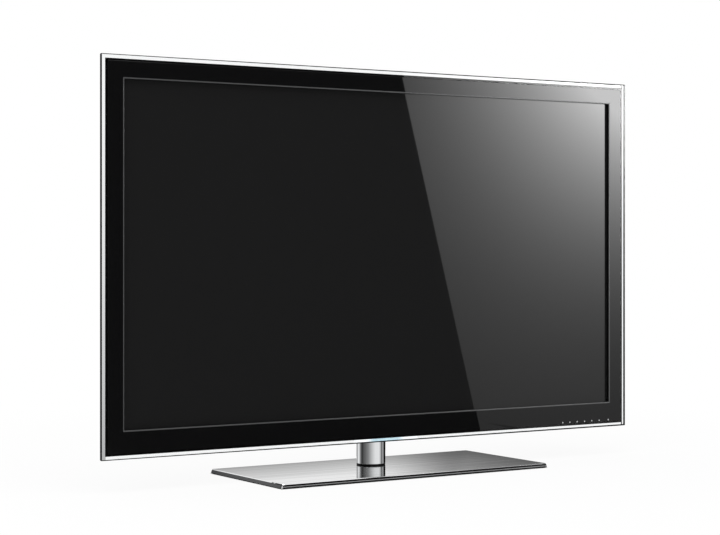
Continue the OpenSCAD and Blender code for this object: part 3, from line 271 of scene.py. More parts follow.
def end_tree(inputs, shape):
    """Sets one shape at every point, as plain faces with their finish."""
    points = shape.node("GeometryNodeInstanceOnPoints", {}, {"Points": inputs["Points"], "Instance": shape})
    solid = shape.node("GeometryNodeRealizeInstances", {}, {0: points})
    coated = shape.node("GeometryNodeSetMaterial", {}, {"Geometry": solid, "Material": inputs["Finish"]})
    shape.node("NodeGroupOutput", {}, {0: coated})


def vector(x, y, z):
    source = next(part for part in (x, y, z) if isinstance(part, Feed))
    return source.node("ShaderNodeCombineXYZ", {}, {0: x, 1: y, 2: z})


def grown(keys, inputs, spots, material, **sizes):
    """Plain mesh that a tree makes at these spots with these sizes."""
    holder = bpy.data.objects.new("spots", bpy.data.meshes.new("spots"))
    holder.data.from_pydata(spots, [], [])
    bpy.context.scene.collection.objects.link(holder)
    change = holder.modifiers.new("growth", "NODES")
    change.node_group = inputs["Points"].tree
    for size, value in sizes.items():
        change[keys[size.replace("_", " ").capitalize()]] = value
    change[keys["Finish"]] = material
    whole = holder.evaluated_get(bpy.context.evaluated_depsgraph_get())
    mesh = bpy.data.meshes.new_from_object(whole)
    holder.modifiers.remove(change)
    bpy.data.objects.remove(holder)
    return mesh


screw_keys, screw = new_tree("cross_screws", ["Head", "Height", "Shank", "Length", "Turn"])
head = screw["Head"].node("GeometryNodeMeshCone", {}, {
    "Vertices": 28, "Radius Top": 0.78 * screw["Head"], "Radius Bottom": screw["Head"], "Depth": screw["Height"]})
slots = [screw["Head"].node("GeometryNodeMeshCube", {}, {"Size": vector(*spread)}) for spread in (
    (1.15 * screw["Head"], 0.24 * screw["Head"], screw["Height"]),
    (0.24 * screw["Head"], 1.15 * screw["Head"], screw["Height"]))]
slots = [slot.node("GeometryNodeTransform", {}, {
    "Geometry": slot, "Translation": vector(0.0, 0.0, 1.4 * screw["Height"])}) for slot in slots]
head = head.node("GeometryNodeMeshBoolean", {"operation": "DIFFERENCE"}, {"Mesh 1": head, "Mesh 2": slots})
shank = screw["Shank"].node("GeometryNodeMeshCylinder", {}, {
    "Vertices": 20, "Radius": screw["Shank"], "Depth": screw["Length"]})
shank = shank.node("GeometryNodeTransform", {}, {
    "Geometry": shank, "Translation": vector(0.0, 0.0, 0.2 * screw["Height"] - 0.5 * screw["Length"])})
whole = head.node("GeometryNodeJoinGeometry", {}, {0: [head, shank]})
whole = whole.node("GeometryNodeTransform", {}, {"Geometry": whole, "Rotation": vector(screw["Turn"], 0.0, 0.0)})
end_tree(screw, whole)


def screws(node, body, spots, **sizes):
    mesh = grown(screw_keys, screw, spots, screw_black, **sizes)
    fitted(node + "_crossed", mesh, screw_black, body, [node])


neck_y = 0.0338
head_up, head_down, head_back = 0.0, math.pi, -math.pi / 2
circle = [(math.cos(math.radians(a)), math.sin(math.radians(a))) for a in (45, 135, 225, 315)]
flange_r, counterbore = 0.01325, 0.0038
screws("spindle_screws", "base", [(flange_r * x, neck_y + flange_r * y, counterbore) for x, y in circle],
       head=0.0042, height=0.002, shank=0.0024, length=0.0075, turn=head_down)


# Swivel ring and bushes: a black acetal ring between base and neck, and two pale bushes inside the neck.
# They are turned from bar and run dry on the spindle.
def turned(name, rows, middle, steps=144):
    """Closed ring of a turned piece, from the radius and height of each corner of its section."""
    shell = bmesh.new()
    loops = [[shell.verts.new((radius * math.cos(2 * math.pi * j / steps),
                               middle + radius * math.sin(2 * math.pi * j / steps), z))
              for j in range(steps)] for radius, z in rows]
    for k, loop in enumerate(loops):
        after = loops[(k + 1) % len(loops)]
        for j in range(steps):
            shell.faces.new((loop[j], loop[(j + 1) % steps], after[(j + 1) % steps], after[j]))
    bmesh.ops.recalc_face_normals(shell, faces=shell.faces)
    mesh = bpy.data.meshes.new(name)
    shell.to_mesh(mesh)
    shell.free()
    return mesh


ring_black, place = new_finish("ring_black")
lathe = grain(place, (30, 30, 2600), 1.0)
shade(place, {"Base Color": tint(lathe, (0.002, 0.002, 0.002), (0.006, 0.006, 0.006)),
              "Roughness": 0.45 + 0.1 * lathe, "Specular IOR Level": 0.15, "Normal": relief(lathe, 0.00002)})
ring_low, ring_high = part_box("swivel_ring")
ring_bore, ring_r = 0.0178, ring_high.x + 0.0005
fitted("swivel_ring_turned", turned("swivel_ring", [
    (ring_bore, ring_low.z), (ring_r, ring_low.z), (ring_r, ring_high.z), (ring_bore, ring_high.z)], neck_y),
    ring_black, "base", ["swivel_ring"], 0.0003)

acetal, place = new_finish("pale_acetal")
lathe = grain(place, (30, 30, 1800), 1.0)
shade(place, {"Base Color": tint(lathe, (0.76, 0.74, 0.66), (0.84, 0.82, 0.75)), "Roughness": 0.34 + 0.1 * lathe,
              "Normal": relief(lathe, 0.00002)})
dress(acetal, "lower_bush", "upper_bush")


# Neck: a thick steel tube, polished and chrome plated, that turns on the spindle and carries the panel.
# Faint polishing lines run round it.
chrome, place = new_finish("neck_chrome")
polish = grain(place, (14, 14, 1500), 2.0)
smudge = grain(place, (24, 24, 18), 3.0)
shade(place, {"Base Color": tint(smudge, (0.66, 0.67, 0.68), (0.76, 0.77, 0.78)), "Metallic": 1.0,
              "Roughness": 0.035 + 0.03 * smudge + 0.02 * polish, "Normal": relief(polish, 0.000004, 0.4)})
neck_low, neck_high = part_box("neck_tube")
neck_bore, plated_r = 0.019, neck_high.x + 0.0007
fitted("neck_tube_polished", turned("neck_tube", [
    (neck_bore, neck_low.z), (plated_r, neck_low.z), (plated_r, neck_high.z), (neck_bore, neck_high.z)], neck_y),
    chrome, "set", ["neck_tube"], 0.0004)


# Stand bracket: a welded steel angle with two ribs that joins the neck to the panel's back.
# It is powder coated black, and cross-recess screws hold it to the neck and to the mount inside.
powder, place = new_finish("black_powder_coat")
orange_peel = grain(place, 1100, 2.0)
shade(place, {"Base Color": tint(grain(place, 60), (0.016, 0.0165, 0.017), (0.03, 0.0305, 0.031)),
              "Roughness": 0.42 + 0.16 * orange_peel, "Normal": relief(orange_peel, 0.00008)})
softened("stand_bracket", 0.0005, powder, "set")

tube_wall_r, foot_top = 0.02225, neck_high.z + 0.0059
screws("neck_screws", "set", [(tube_wall_r * x, neck_y + tube_wall_r * y, foot_top) for x, y in circle],
       head=0.0028, height=0.0016, shank=0.0015, length=0.0165, turn=head_up)
head_seat = 0.0165
screws("stand_screws", "set", [(x, head_seat, z) for x in (-0.045, 0.045) for z in (0.1144, 0.1844)],
       head=0.0045, height=0.003, shank=0.0024, length=0.0085, turn=head_back)


# Panel module: folded zinc-coated sheets round the backlight, a white moulded frame and the optical films.
# The light guide is a cast acrylic plate, lit by two lamp strips on extruded heat bars.
zinc, place = new_finish("zinc_sheet")
spangle = place.node("ShaderNodeTexVoronoi", {}, {"Vector": place, "Scale": 90.0}, "Color")
flake = place.node("ShaderNodeSeparateColor", {}, {0: spangle})
shade(place, {"Base Color": tint(flake, (0.46, 0.47, 0.48), (0.6, 0.61, 0.615)), "Metallic": 0.9,
              "Roughness": 0.3 + 0.2 * flake, "Normal": relief(grain(place, 400), 0.00002)})
dress(zinc, "panel_front_frame", "rear_chassis", "stand_mount")

white_frame, place = new_finish("white_moulding")
speck = grain(place, 1500)
shade(place, {"Base Color": tint(speck, (0.80, 0.80, 0.78), (0.88, 0.88, 0.86)), "Roughness": 0.42 + 0.2 * speck,
              "Normal": relief(speck, 0.00003)})
dress(white_frame, "mid_frame", "reflector_sheet")

film, place = new_finish("optical_film")
prism = grain(place, (3, 3, 5200), 1.0)
shade(place, {"Base Color": tint(prism, (0.80, 0.83, 0.86), (0.90, 0.92, 0.94)), "Roughness": 0.2 + 0.15 * prism,
              "Normal": relief(prism, 0.00001)})
dress(film, "brightness_film", "prism_sheet", "diffuser_sheet", "light_guide_plate")

alloy, place = new_finish("extruded_alloy")
drawn = grain(place, (5, 1600, 1600), 2.0)
shade(place, {"Base Color": tint(drawn, (0.62, 0.63, 0.64), (0.76, 0.77, 0.78)), "Metallic": 1.0,
              "Roughness": 0.28 + 0.15 * drawn, "Normal": relief(drawn, 0.00002)})
dress(alloy, "heat_bars")


# Boards: etched laminate under green or amber solder resist, with their parts soldered on.
# Brass standoffs and cross-recess screws hold them on the chassis, joined by ribbons and a wire harness.
def board_finish(name, bare, track):
    material, place = new_finish(name)
    cell = place.node("ShaderNodeTexVoronoi", {"distance": "MANHATTAN"}, {"Vector": place, "Scale": 110.0})
    line = cell.sum("FRACT", cell * 7.0) < 0.3
    shade(place, {"Base Color": tint(line, bare, track), "Roughness": 0.3 + 0.2 * grain(place, 200),
                  "Normal": relief(line, 0.00003)})
    return material


resist_green = board_finish("green_resist", (0.03, 0.17, 0.07), (0.06, 0.27, 0.12))
resist_amber = board_finish("amber_laminate", (0.36, 0.28, 0.11), (0.48, 0.38, 0.17))
dress(resist_green, "main_board", "timing_board", "source_boards", "touch_board", "indicator_board", "led_bars")
dress(resist_amber, "power_board")

brass, place = new_finish("turned_brass")
lathe = grain(place, (50, 2200, 50), 1.0)
shade(place, {"Base Color": tint(lathe, (0.52, 0.41, 0.18), (0.68, 0.56, 0.29)), "Metallic": 1.0,
              "Roughness": 0.24 + 0.14 * lathe, "Normal": relief(lathe, 0.00004)})
dress(brass, "board_standoffs")

ribbon, place = new_finish("flat_cable")
core = grain(place, 1000, 1.0)
shade(place, {"Base Color": tint(core, (0.70, 0.70, 0.65), (0.84, 0.84, 0.80)), "Roughness": 0.38 + 0.1 * core,
              "Normal": relief(core, 0.00004)})
dress(ribbon, "picture_ribbon", "source_ribbons")

wire_red, place = new_finish("wire_covering")
speck = grain(place, 600)
shade(place, {"Base Color": tint(speck, (0.42, 0.04, 0.035), (0.56, 0.07, 0.055)), "Roughness": 0.4 + 0.15 * speck,
              "Normal": relief(speck, 0.00003)})
dress(wire_red, "power_harness")

ear_spots = ([(x * 1.021, z) for z in (0.6885, 0.0825) for x in (-0.4, -0.13, 0.13, 0.4)]
             + [(x, 0.3855 + z * 0.574) for x in (-0.5265, 0.5265) for z in (-0.3, 0.3)])
ear_back = -0.0083
screws("bezel_screws", "set", [(x, ear_back, z) for x, z in ear_spots],
       head=0.0028, height=0.0016, shank=0.0012, length=0.0046, turn=head_back)
dress(screw_black, "board_screws")


# Speakers: two slim moulded boxes that fire backwards through the cover, each with two treated cones.
# The boxes are satin black and the cones have a soft roll edge.
box_black, place = new_finish("speaker_moulding")
speck = grain(place, 1300)
shade(place, {"Base Color": tint(speck, (0.014, 0.014, 0.015), (0.026, 0.026, 0.027)),
              "Roughness": 0.48 + 0.2 * speck, "Normal": relief(speck, 0.00004)})
dress(box_black, "speaker_left", "speaker_right")

cone_paper, place = new_finish("treated_cone")
fibre = grain(place, 500, 4.0)
shade(place, {"Base Color": tint(fibre, (0.035, 0.035, 0.038), (0.07, 0.07, 0.074)), "Roughness": 0.6 + 0.2 * fibre,
              "Normal": relief(fibre, 0.00006)})
dress(cone_paper, "speaker_drivers")


# Picture glass: the front sheet of the panel, dark when switched off and glossy.
# Under its smooth face the colour columns leave a very fine upright line pattern.
screen_glass, place = new_finish("picture_glass")
column_turn = 11850.0
column = place.sum("SINE", along(place, "X") * column_turn)
shade(place, {"Base Color": tint(0.5 + 0.5 * column, (0.0112, 0.0112, 0.0113), (0.0124, 0.0124, 0.0125)),
              "Roughness": 0.022 + 0.01 * grain(place, 6), "IOR": 1.5})
dress(screen_glass, "lcd_glass")


# Bezel: one black moulding with a mirror polish, clipped and screwed round the panel module.
# A narrow satin bead runs round the picture opening, and its sides lean out under the clear edge.
def moulded(name, rows, steps=7):
    """Closed frame through rounded rectangles, each given by half width, low, high, corner and place in Y."""
    shell = bmesh.new()
    loops = []
    for half, low, high, corner, y in rows:
        loop = []
        for turn, (x, z) in enumerate(((half, high), (-half, high), (-half, low), (half, low))):
            x -= math.copysign(corner, x)
            z += corner if z == low else -corner
            for j in range(steps + 1):
                angle = math.pi / 2 * (turn + j / steps)
                loop.append(shell.verts.new((x + corner * math.cos(angle), y, z + corner * math.sin(angle))))
        loops.append(loop)
    count = len(loops[0])
    for k, loop in enumerate(loops):
        after = loops[(k + 1) % len(loops)]
        for j in range(count):
            shell.faces.new((loop[j], loop[(j + 1) % count], after[(j + 1) % count], after[j]))
    bmesh.ops.recalc_face_normals(shell, faces=shell.faces)
    mesh = bpy.data.meshes.new(name)
    shell.to_mesh(mesh)
    shell.free()
    return mesh


def frame_row(rectangle, out, corner, depth):
    half, low, high = rectangle
    return half + out, low - out, high + out, corner, panel_front + depth


panel_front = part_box("front_bezel")[0].y
opening = (0.5090, 0.1000, 0.6710)
black_face = (0.5379, 0.063, 0.6995)
shoulder = (0.5416, 0.0590, 0.7036)
bead, bead_depth = 0.0022, 0.0008
wall, lean, face_thick = 0.0028, 0.0066, 0.0025
edge_thick, glass_depth, split_depth = 0.0054, 0.0069, 0.012
opening_corner, bead_corner, sharp_corner = 0.0015, 0.0024, 0.0008
play = 0.00005
gloss_black, place = new_finish("gloss_black")
scratch = grain(place, (55, 55, 900), 3.0)


def past(place, rectangle):
    """Distance outside a rectangle in the panel's face, below zero inside it."""
    half, low, high = rectangle
    upright = abs(along(place, "Z") - 0.5 * (low + high)) - 0.5 * (high - low)
    return place.sum("MAXIMUM", abs(along(place, "X")) - half, upright)


def layered(place, first, *coats):
    """Finishes on one surface, each after the first laid over it where its mask is one."""
    surface = place.node("ShaderNodeBsdfPrincipled", {}, first)
    for mask, sockets in coats:
        coat = place.node("ShaderNodeBsdfPrincipled", {}, sockets)
        surface = place.node("ShaderNodeMixShader", {}, {0: mask, 1: surface, 2: coat})
    place.node("ShaderNodeOutputMaterial", {}, {"Surface": surface})


bead_mask = (past(place, opening) < bead - 2 * play) * (along(place, "Y") < panel_front + bead_depth + play)
glued = (past(place, black_face) > 0.0) * (along(place, "Y") < panel_front + edge_thick + play)
layered(place, {
    "Base Color": tint(bead_mask, tint(scratch, (0.0030, 0.0030, 0.0032), (0.0046, 0.0046, 0.0048)),
                       (0.075, 0.076, 0.077)),
    "Roughness": 0.02 + 0.012 * scratch + 0.33 * bead_mask, "IOR": 1.5}, (glued, {
        "Base Color": tint(scratch, (0.0020, 0.0020, 0.0022), (0.0040, 0.0040, 0.0042)), "Roughness": 0.6,
        "Specular IOR Level": 0.0}))
fitted("front_bezel_polished", moulded("front_bezel", [
    frame_row(opening, 0.0, opening_corner, glass_depth), frame_row(opening, 0.0, opening_corner, bead_depth),
    frame_row(opening, bead, bead_corner, 0.0), frame_row(black_face, 0.0, sharp_corner, 0.0),
    frame_row(shoulder, 0.0, sharp_corner, edge_thick), frame_row(shoulder, -lean, sharp_corner, split_depth),
    frame_row(shoulder, -lean - wall, sharp_corner, split_depth),
    frame_row(shoulder, -wall, sharp_corner, edge_thick), frame_row(black_face, -0.002, sharp_corner, face_thick),
    frame_row(opening, bead, bead_corner, face_thick), frame_row(opening, bead, bead_corner, glass_depth)]),
    gloss_black, "set", ["front_bezel"], 0.00025)


# Touch marks: seven small pale spots printed on the bezel's lower right over the touch board.
# Each is a thin disc of ink, laid by pad printing.
ink = 0.00004
mark_keys, mark = new_tree("ink_spots", ["Radius"])
spot = mark["Radius"].node("GeometryNodeMeshCylinder", {}, {
    "Vertices": 20, "Radius": mark["Radius"], "Depth": ink})
spot = spot.node("GeometryNodeTransform", {}, {"Geometry": spot, "Rotation": (math.pi / 2, 0.0, 0.0)})
end_tree(mark, spot)
mark_ink, place = new_finish("pale_ink")
speck = grain(place, 3000)
shade(place, {"Base Color": tint(speck, (0.46, 0.47, 0.48), (0.58, 0.59, 0.60)), "Roughness": 0.5 + 0.1 * speck})
mark_x, mark_z = (0.3961, 0.4131, 0.4308, 0.4488, 0.4664, 0.4846, 0.5069), 0.066
marks = grown(mark_keys, mark, [(x, panel_front - 0.5 * ink, mark_z) for x in mark_x], mark_ink, radius=0.0014)
fitted("touch_marks", marks, mark_ink, "set")


# Clear edge: a polished acrylic rim glued round the bezel, with a small bevel and an outline of painted shade.
# Two dark lines of painted shade lie on its back on the right. A light bar above its lower middle glows pale blue
# on standby, where the rim's back is frosted to show it, and the rest of that frosted band glows white as painted
# light.
acrylic, place = new_finish("clear_acrylic")
rim = (0.5495, 0.053, 0.710)
rim_bevel, rim_corner, bond = 0.0009, 0.0014, 0.0002
right_line_width, shoulder_line_width, frost_half = 0.0026, 0.0023, 0.066
reach = along(place, "X") / rim[0]
rim_back = along(place, "Y") > panel_front + edge_thick - 2 * play
# Painted shade: dark lines on the rim's back on the right, at its outer edge and beside the bezel's shoulder.
right_dark_line = (along(place, "X") > rim[0] - right_line_width) * rim_back
shoulder_dark_line = ((along(place, "X") > shoulder[0] - 0.0003) * (along(place, "X") < shoulder[0] + shoulder_line_width)
             * rim_back)
# Painted shade: dark lines along the top and bottom, wider towards the right, and a dark outline over the bevel and
# side.
top_line = along(place, "Z") > rim[2] - (0.0013 + 0.0004 * reach)
low_line = along(place, "Z") < rim[1] + (0.0017 + 0.0006 * reach)
painted_dark_edge = past(place, rim) > -rim_bevel - 0.00004
for line in (right_dark_line, shoulder_dark_line, top_line, low_line):
    painted_dark_edge = place.sum("MAXIMUM", painted_dark_edge, line)
# The frosted band glows pale blue over the light bar, and white beyond it, where the white is painted light.
frosted = rim_back * (abs(along(place, "X")) < frost_half) * (along(place, "Z") < shoulder[1])
blue = eased(abs(along(place, "X")), 0.024, 0.04, 1.0, 0.0, "SMOOTHSTEP")
clear_coat = {"Base Color": tint(grain(place, 9), (0.965, 0.98, 0.985), (0.985, 0.992, 0.995)),
              "Roughness": 0.0, "IOR": 1.49, "Transmission Weight": 1.0}
frost_with_painted_glow = {"Base Color": (0.4, 0.43, 0.45, 1.0), "Roughness": 0.5,
              "Emission Color": tint(blue, (0.97, 0.98, 0.99), (0.46, 0.66, 0.75)), "Emission Strength": 1.0}
dark_edge_coat = {"Base Color": tint(grain(place, 30), (0.006, 0.006, 0.007), (0.012, 0.012, 0.013)),
              "Roughness": 0.5, "Specular IOR Level": 0.0}
layered(place, clear_coat, (frosted, frost_with_painted_glow), (painted_dark_edge, dark_edge_coat))
fitted("crystal_edge_polished", moulded("crystal_edge", [
    frame_row(black_face, -bond, sharp_corner, bond), frame_row(rim, -rim_bevel, sharp_corner, 0.0),
    frame_row(rim, 0.0, rim_corner, rim_bevel), frame_row(rim, 0.0, rim_corner, edge_thick),
    frame_row(shoulder, -bond, sharp_corner, edge_thick)]),
    acrylic, "set", ["crystal_edge"])

glow, place = new_finish("standby_glow")
glow_half = 0.044
fade = 1.0 - (along(place, "X") / glow_half) * (along(place, "X") / glow_half)
shade(place, {"Base Color": (0.75, 0.88, 0.95, 1.0), "Roughness": 0.2,
              "Emission Color": tint(fade, (0.1, 0.25, 0.35), (0.55, 0.85, 1.0)), "Emission Strength": 1.0})
dress(glow, "light_pipe")


# Rear cover: one black moulding with sloping sides that closes the back, held by twelve screws in wells.
# It has a fine spark-eroded grain and soft edges.
grained, place = new_finish("grained_black")
leather = place.node("ShaderNodeTexVoronoi", {}, {"Vector": place, "Scale": 1300.0})
shade(place, {"Base Color": tint(grain(place, 14, 4.0), (0.016, 0.0165, 0.017), (0.024, 0.0245, 0.025)),
              "Roughness": 0.42 + 0.22 * leather, "Normal": relief(leather, 0.00008, 0.6)})
softened("rear_cover", 0.0006, grained, "set")

cover_spots = [(s * x, z) for s in (-1, 1) for x, z in (
    (0.5086, 0.6706), (0.16953, 0.6706), (0.5086, 0.4755), (0.5086, 0.2955), (0.5086, 0.1004), (0.22887, 0.1004))]
well_floor = 0.0097
screws("cover_screws", "set", [(x, well_floor, z) for x, z in cover_spots],
       head=0.0028, height=0.0016, shank=0.0012, length=0.013, turn=head_back)


# Grilles: slotted black mouldings behind the cover's windows, over the vents and the speakers.
# Their bars are rounded so that air passes without noise.
grille_keys, grille = new_tree("slotted_grille", [
    "Width", "Height", "Lap", "Thick", "Pitch", "Slot", "Bars", "Ends"])
bar = grille["Slot"].node("GeometryNodeMeshCylinder", {}, {
    "Vertices": 12, "Radius": 0.5, "Depth": grille["Height"] - 1.9 * grille["Ends"]})
bar = bar.node("GeometryNodeTransform", {}, {
    "Geometry": bar, "Scale": vector(grille["Pitch"] - grille["Slot"], grille["Thick"], 1.0)})
row = grille["Bars"].node("GeometryNodeMeshLine", {}, {
    "Count": grille["Bars"], "Start Location": vector(-0.5 * (grille["Bars"] - 1.0) * grille["Pitch"], 0.0, 0.0),
    "Offset": vector(grille["Pitch"], 0.0, 0.0)})
bars = row.node("GeometryNodeInstanceOnPoints", {}, {"Points": row, "Instance": bar})
long_side = grille["Width"] + 2.0 * grille["Lap"]
strip = grille["Ends"] + grille["Lap"]
stile = 0.5 * (long_side - (grille["Bars"] - 1.0) * grille["Pitch"] - grille["Slot"])
borders = []
for way in (-1.0, 1.0):
    rail = grille["Lap"].node("GeometryNodeMeshCube", {}, {"Size": vector(long_side, grille["Thick"], strip)})
    borders.append(rail.node("GeometryNodeTransform", {}, {
        "Geometry": rail, "Translation": vector(0.0, 0.0, way * (0.5 * grille["Height"] + 0.5 * grille["Lap"]
                                                                - 0.5 * grille["Ends"]))}))
    post = grille["Lap"].node("GeometryNodeMeshCube", {}, {
        "Size": vector(stile, grille["Thick"], grille["Height"] - 2.0 * grille["Ends"])})
    borders.append(post.node("GeometryNodeTransform", {}, {
        "Geometry": post, "Translation": vector(way * 0.5 * (long_side - stile), 0.0, 0.0)}))
plate = bars.node("GeometryNodeJoinGeometry", {}, {0: [bars, *borders]})
end_tree(grille, plate)


def grilles(name, node, spots, width, height):
    pitch, slot = 0.009, 0.0034
    count = math.floor((width - slot) / pitch)
    mesh = grown(grille_keys, grille, spots, box_black, width=width, height=height, lap=0.005, thick=0.0012,
                 pitch=pitch, slot=slot, bars=count - 1.0, ends=0.002)
    fitted(name, mesh, box_black, "set", [node])


grille_y, vent_z, speaker_z, vent_h = 0.0081, 0.6305, 0.1159, 0.032
grilles("vent_grille_inner", "vent_grilles", [(x, grille_y, vent_z) for x in (-0.11, 0.11)], 0.14, vent_h)
grilles("vent_grille_outer", "vent_grilles", [(x, grille_y, vent_z) for x in (-0.3143, 0.3143)], 0.1886, vent_h)
grilles("speaker_grille", "speaker_grilles", [(x, grille_y, speaker_z) for x in (-0.4086, 0.4086)], 0.124, 0.029)


# Wall-mount bushes: four turned brass bushes moulded into the back for the wall bracket's screws.
# They are bored from the back, and fine turning lines run round them.
softened("wall_mount_bushes", 0.0004, brass, "set")


# Connection bays: two moulded trays sunk in the back, with the sockets in their inner walls.
# The plated shells and black blocks of the sockets are soldered to the boards behind.
softened("jack_tray", 0.0003, grained, "set")
softened("inlet_tray", 0.0003, grained, "set")

plated, place = new_finish("plated_shell")
rub = grain(place, 260, 3.0)
shade(place, {"Base Color": tint(rub, (0.56, 0.57, 0.58), (0.7, 0.71, 0.72)), "Metallic": 1.0,
              "Roughness": 0.16 + 0.14 * rub, "Normal": relief(rub, 0.00001)})
for node, radius in (("hdmi_sockets", 0.00015), ("usb_sockets", 0.00015), ("antenna_socket", 0.0002)):
    softened(node, radius, plated, "set")
for node in ("lan_socket", "optical_socket", "audio_jacks", "mains_inlet"):
    softened(node, 0.0002, box_black, "set")

contact_keys, contact = new_tree("contact_row", ["Long", "Thick", "Wide", "Count", "Pitch"])
blade = contact["Long"].node("GeometryNodeMeshCube", {}, {
    "Size": vector(contact["Long"], contact["Thick"], contact["Wide"])})
first = vector(0.0, 0.0, -0.5 * (contact["Count"] - 1.0) * contact["Pitch"])
row = contact["Count"].node("GeometryNodeMeshLine", {}, {
    "Count": contact["Count"], "Start Location": first, "Offset": vector(0.0, 0.0, contact["Pitch"])})
end_tree(contact, row.node("GeometryNodeInstanceOnPoints", {}, {"Points": row, "Instance": blade}))
gilt, place = new_finish("gilt_contact")
rub = grain(place, 900, 2.0)
shade(place, {"Base Color": tint(rub, (0.72, 0.5, 0.18), (0.86, 0.64, 0.28)), "Metallic": 1.0,
              "Roughness": 0.2 + 0.12 * rub})


def contact_rows(name, spots, material, slot, radius=0.0, **sizes):
    mesh = grown(contact_keys, contact, spots, material, **sizes)
    fitted(name, mesh, material, "set", radius=radius)


tongue_x, hdmi_y, usb_y = 0.3985, 0.0046, 0.0032
hdmi_z = (0.2273, 0.2513, 0.2753, 0.2993)
usb_z = (0.32125, 0.34275)
contact_rows("hdmi_tongues", [(tongue_x, hdmi_y, z) for z in hdmi_z], box_black, "black_plastic", 0.0002,
             long=0.0095, thick=0.001, wide=0.0105, count=1.0, pitch=0.001)
contact_rows("hdmi_contacts", [(tongue_x, hdmi_y + 0.00055, z) for z in hdmi_z], gilt, "brass",
             long=0.0085, thick=0.00012, wide=0.0005, count=10.0, pitch=0.001)
contact_rows("usb_tongues", [(tongue_x, usb_y, z) for z in usb_z], box_black, "black_plastic", 0.0002,
             long=0.0095, thick=0.0016, wide=0.0112, count=1.0, pitch=0.001)
contact_rows("usb_contacts", [(tongue_x, usb_y + 0.00085, z) for z in usb_z], gilt, "brass",
             long=0.0085, thick=0.00012, wide=0.001, count=4.0, pitch=0.0022)
contact_rows("lan_contacts", [(0.399, 0.0006, 0.365)], gilt, "brass",
             long=0.009, thick=0.0003, wide=0.0005, count=8.0, pitch=0.00102)


# Studio: a plain white floor and surround with soft light from above, and the photograph's camera.
# Cards that only gloss sees stand before the panel, behind and beside the base, round the neck and above the lip
# of the base. A flag behind the clear edge's left side is seen only through it.
def card(name, corners, build, seen_by="glossy"):
    """Sheets that only one kind of ray sees, each of four corners, with the glow that their coordinates give."""
    mesh = bpy.data.meshes.new(name)
    mesh.from_pydata(corners, [], [range(k, k + 4) for k in range(0, len(corners), 4)])
    sheet = bpy.data.objects.new(name, mesh)
    bpy.context.scene.collection.objects.link(sheet)
    material, place = new_finish(name)
    light = place.node("ShaderNodeEmission", {}, {"Color": build(place), "Strength": 1.0})
    behind = place.node("ShaderNodeNewGeometry", output="Backfacing")
    clear = place.node("ShaderNodeBsdfTransparent")
    place.node("ShaderNodeOutputMaterial", {}, {
        "Surface": place.node("ShaderNodeMixShader", {}, {0: behind, 1: light, 2: clear})})
    mesh.materials.append(material)
    for ray in ("camera", "diffuse", "glossy", "transmission", "volume_scatter", "shadow"):
        setattr(sheet, "visible_" + ray, ray == seen_by)


camera_place = (-1.78368, -2.7382, 0.40197)
mirrored, unlit, faintest, brightest = 0.0435, 0.0014, 0.0175, 0.53


def panel_glow(place):
    """Glow of the card in front, told by the place on the panel where the camera sees it, white at its ends."""
    across, height = along(place, "X"), along(place, "Z")
    reach = (panel_front - along(place, "Y")) / (panel_front - camera_place[1])
    x = (across + reach * camera_place[0]) / (1.0 + reach)
    z = (height + reach * camera_place[2]) / (1.0 + reach)
    power = 3.57 * x + 7.14 * z - 4.67 * x * x - 3.67 * z * z + 6.58 * x * z - 6.63
    lit = place.sum("MINIMUM", faintest + place.sum("EXPONENT", power), brightest)
    glass = abs(z - 0.5 * (opening[1] + opening[2])) < 0.5 * (opening[2] - opening[1])
    right = x > 0.2209 - 0.2697 * z + glass * (0.00485 + 0.0023 * z)
    level = (right * lit + (1.0 - right) * unlit) / mirrored
    for way, start, end in ((across, 0.9, card_right), (0.0 - across, 0.42, -card_left), (height, 0.765, card_top)):
        level = level + eased(way, start, end, curve="SMOOTHSTEP") * (1.0 - level)
    return level


far_y, card_low = panel_front - 0.4, 0.075
card_left, card_right, card_top = -1.1, 1.5, 1.1
card("front_card", [
    (card_left, far_y, card_top), (card_right, far_y, card_top), (card_right, far_y, card_low),
    (card_left, far_y, card_low), (card_left, far_y, card_low), (card_right, far_y, card_low),
    (card_right, panel_front, rim[1]), (card_left, panel_front, rim[1])], panel_glow)


def base_glow(place):
    """Glow of the cards behind and beside the base, which rises with height and falls to the right."""
    rise = eased(along(place, "Z"), 0.012, 0.048, 0.4, 0.92)
    return rise * eased(along(place, "X"), 0.07, 0.29, 1.05, 0.32, "SMOOTHSTEP")


left, right, near, back, low, high = -0.42, 0.31, -0.16, 0.165, 0.0075, 0.06
card("base_cards", [
    (right, near, high), (right, back, high), (right, back, low), (right, near, low),
    (right, back, high), (left, back, high), (left, back, low), (right, back, low)], base_glow)


view_cos, view_sin, full_glow = 0.844, 0.536, 1.25
neck_stops = ((-107, 0.6), (-83, 0.5), (-73, 1.2), (-59, 0.21), (-51, 0.04), (-41, 0.11), (-27, 0.17),
              (-12, 0.3), (10, 0.82), (20, 1.0), (47, 1.04), (62, 0.1), (71, 0.6), (78, 0.0))


def neck_glow(place):
    """Glow round the neck by the angle from the camera's side: dark on the left, bright on the right."""
    x, y = along(place, "X"), along(place, "Y") - neck_y
    angle = place.sum("ARCTAN2", view_cos * x - view_sin * y, -view_sin * x - view_cos * y) / (2 * math.pi) + 0.5
    stops = [(0.5 + turn / 360, level / full_glow) for turn, level in neck_stops]
    return full_glow * place.node("ShaderNodeValToRGB", {"stops": stops}, {0: angle})


def by_neck(ahead, across, z):
    """Point beside the neck, so far towards the camera and so far across its view."""
    return -view_sin * ahead + view_cos * across, neck_y - view_cos * ahead - view_sin * across, z


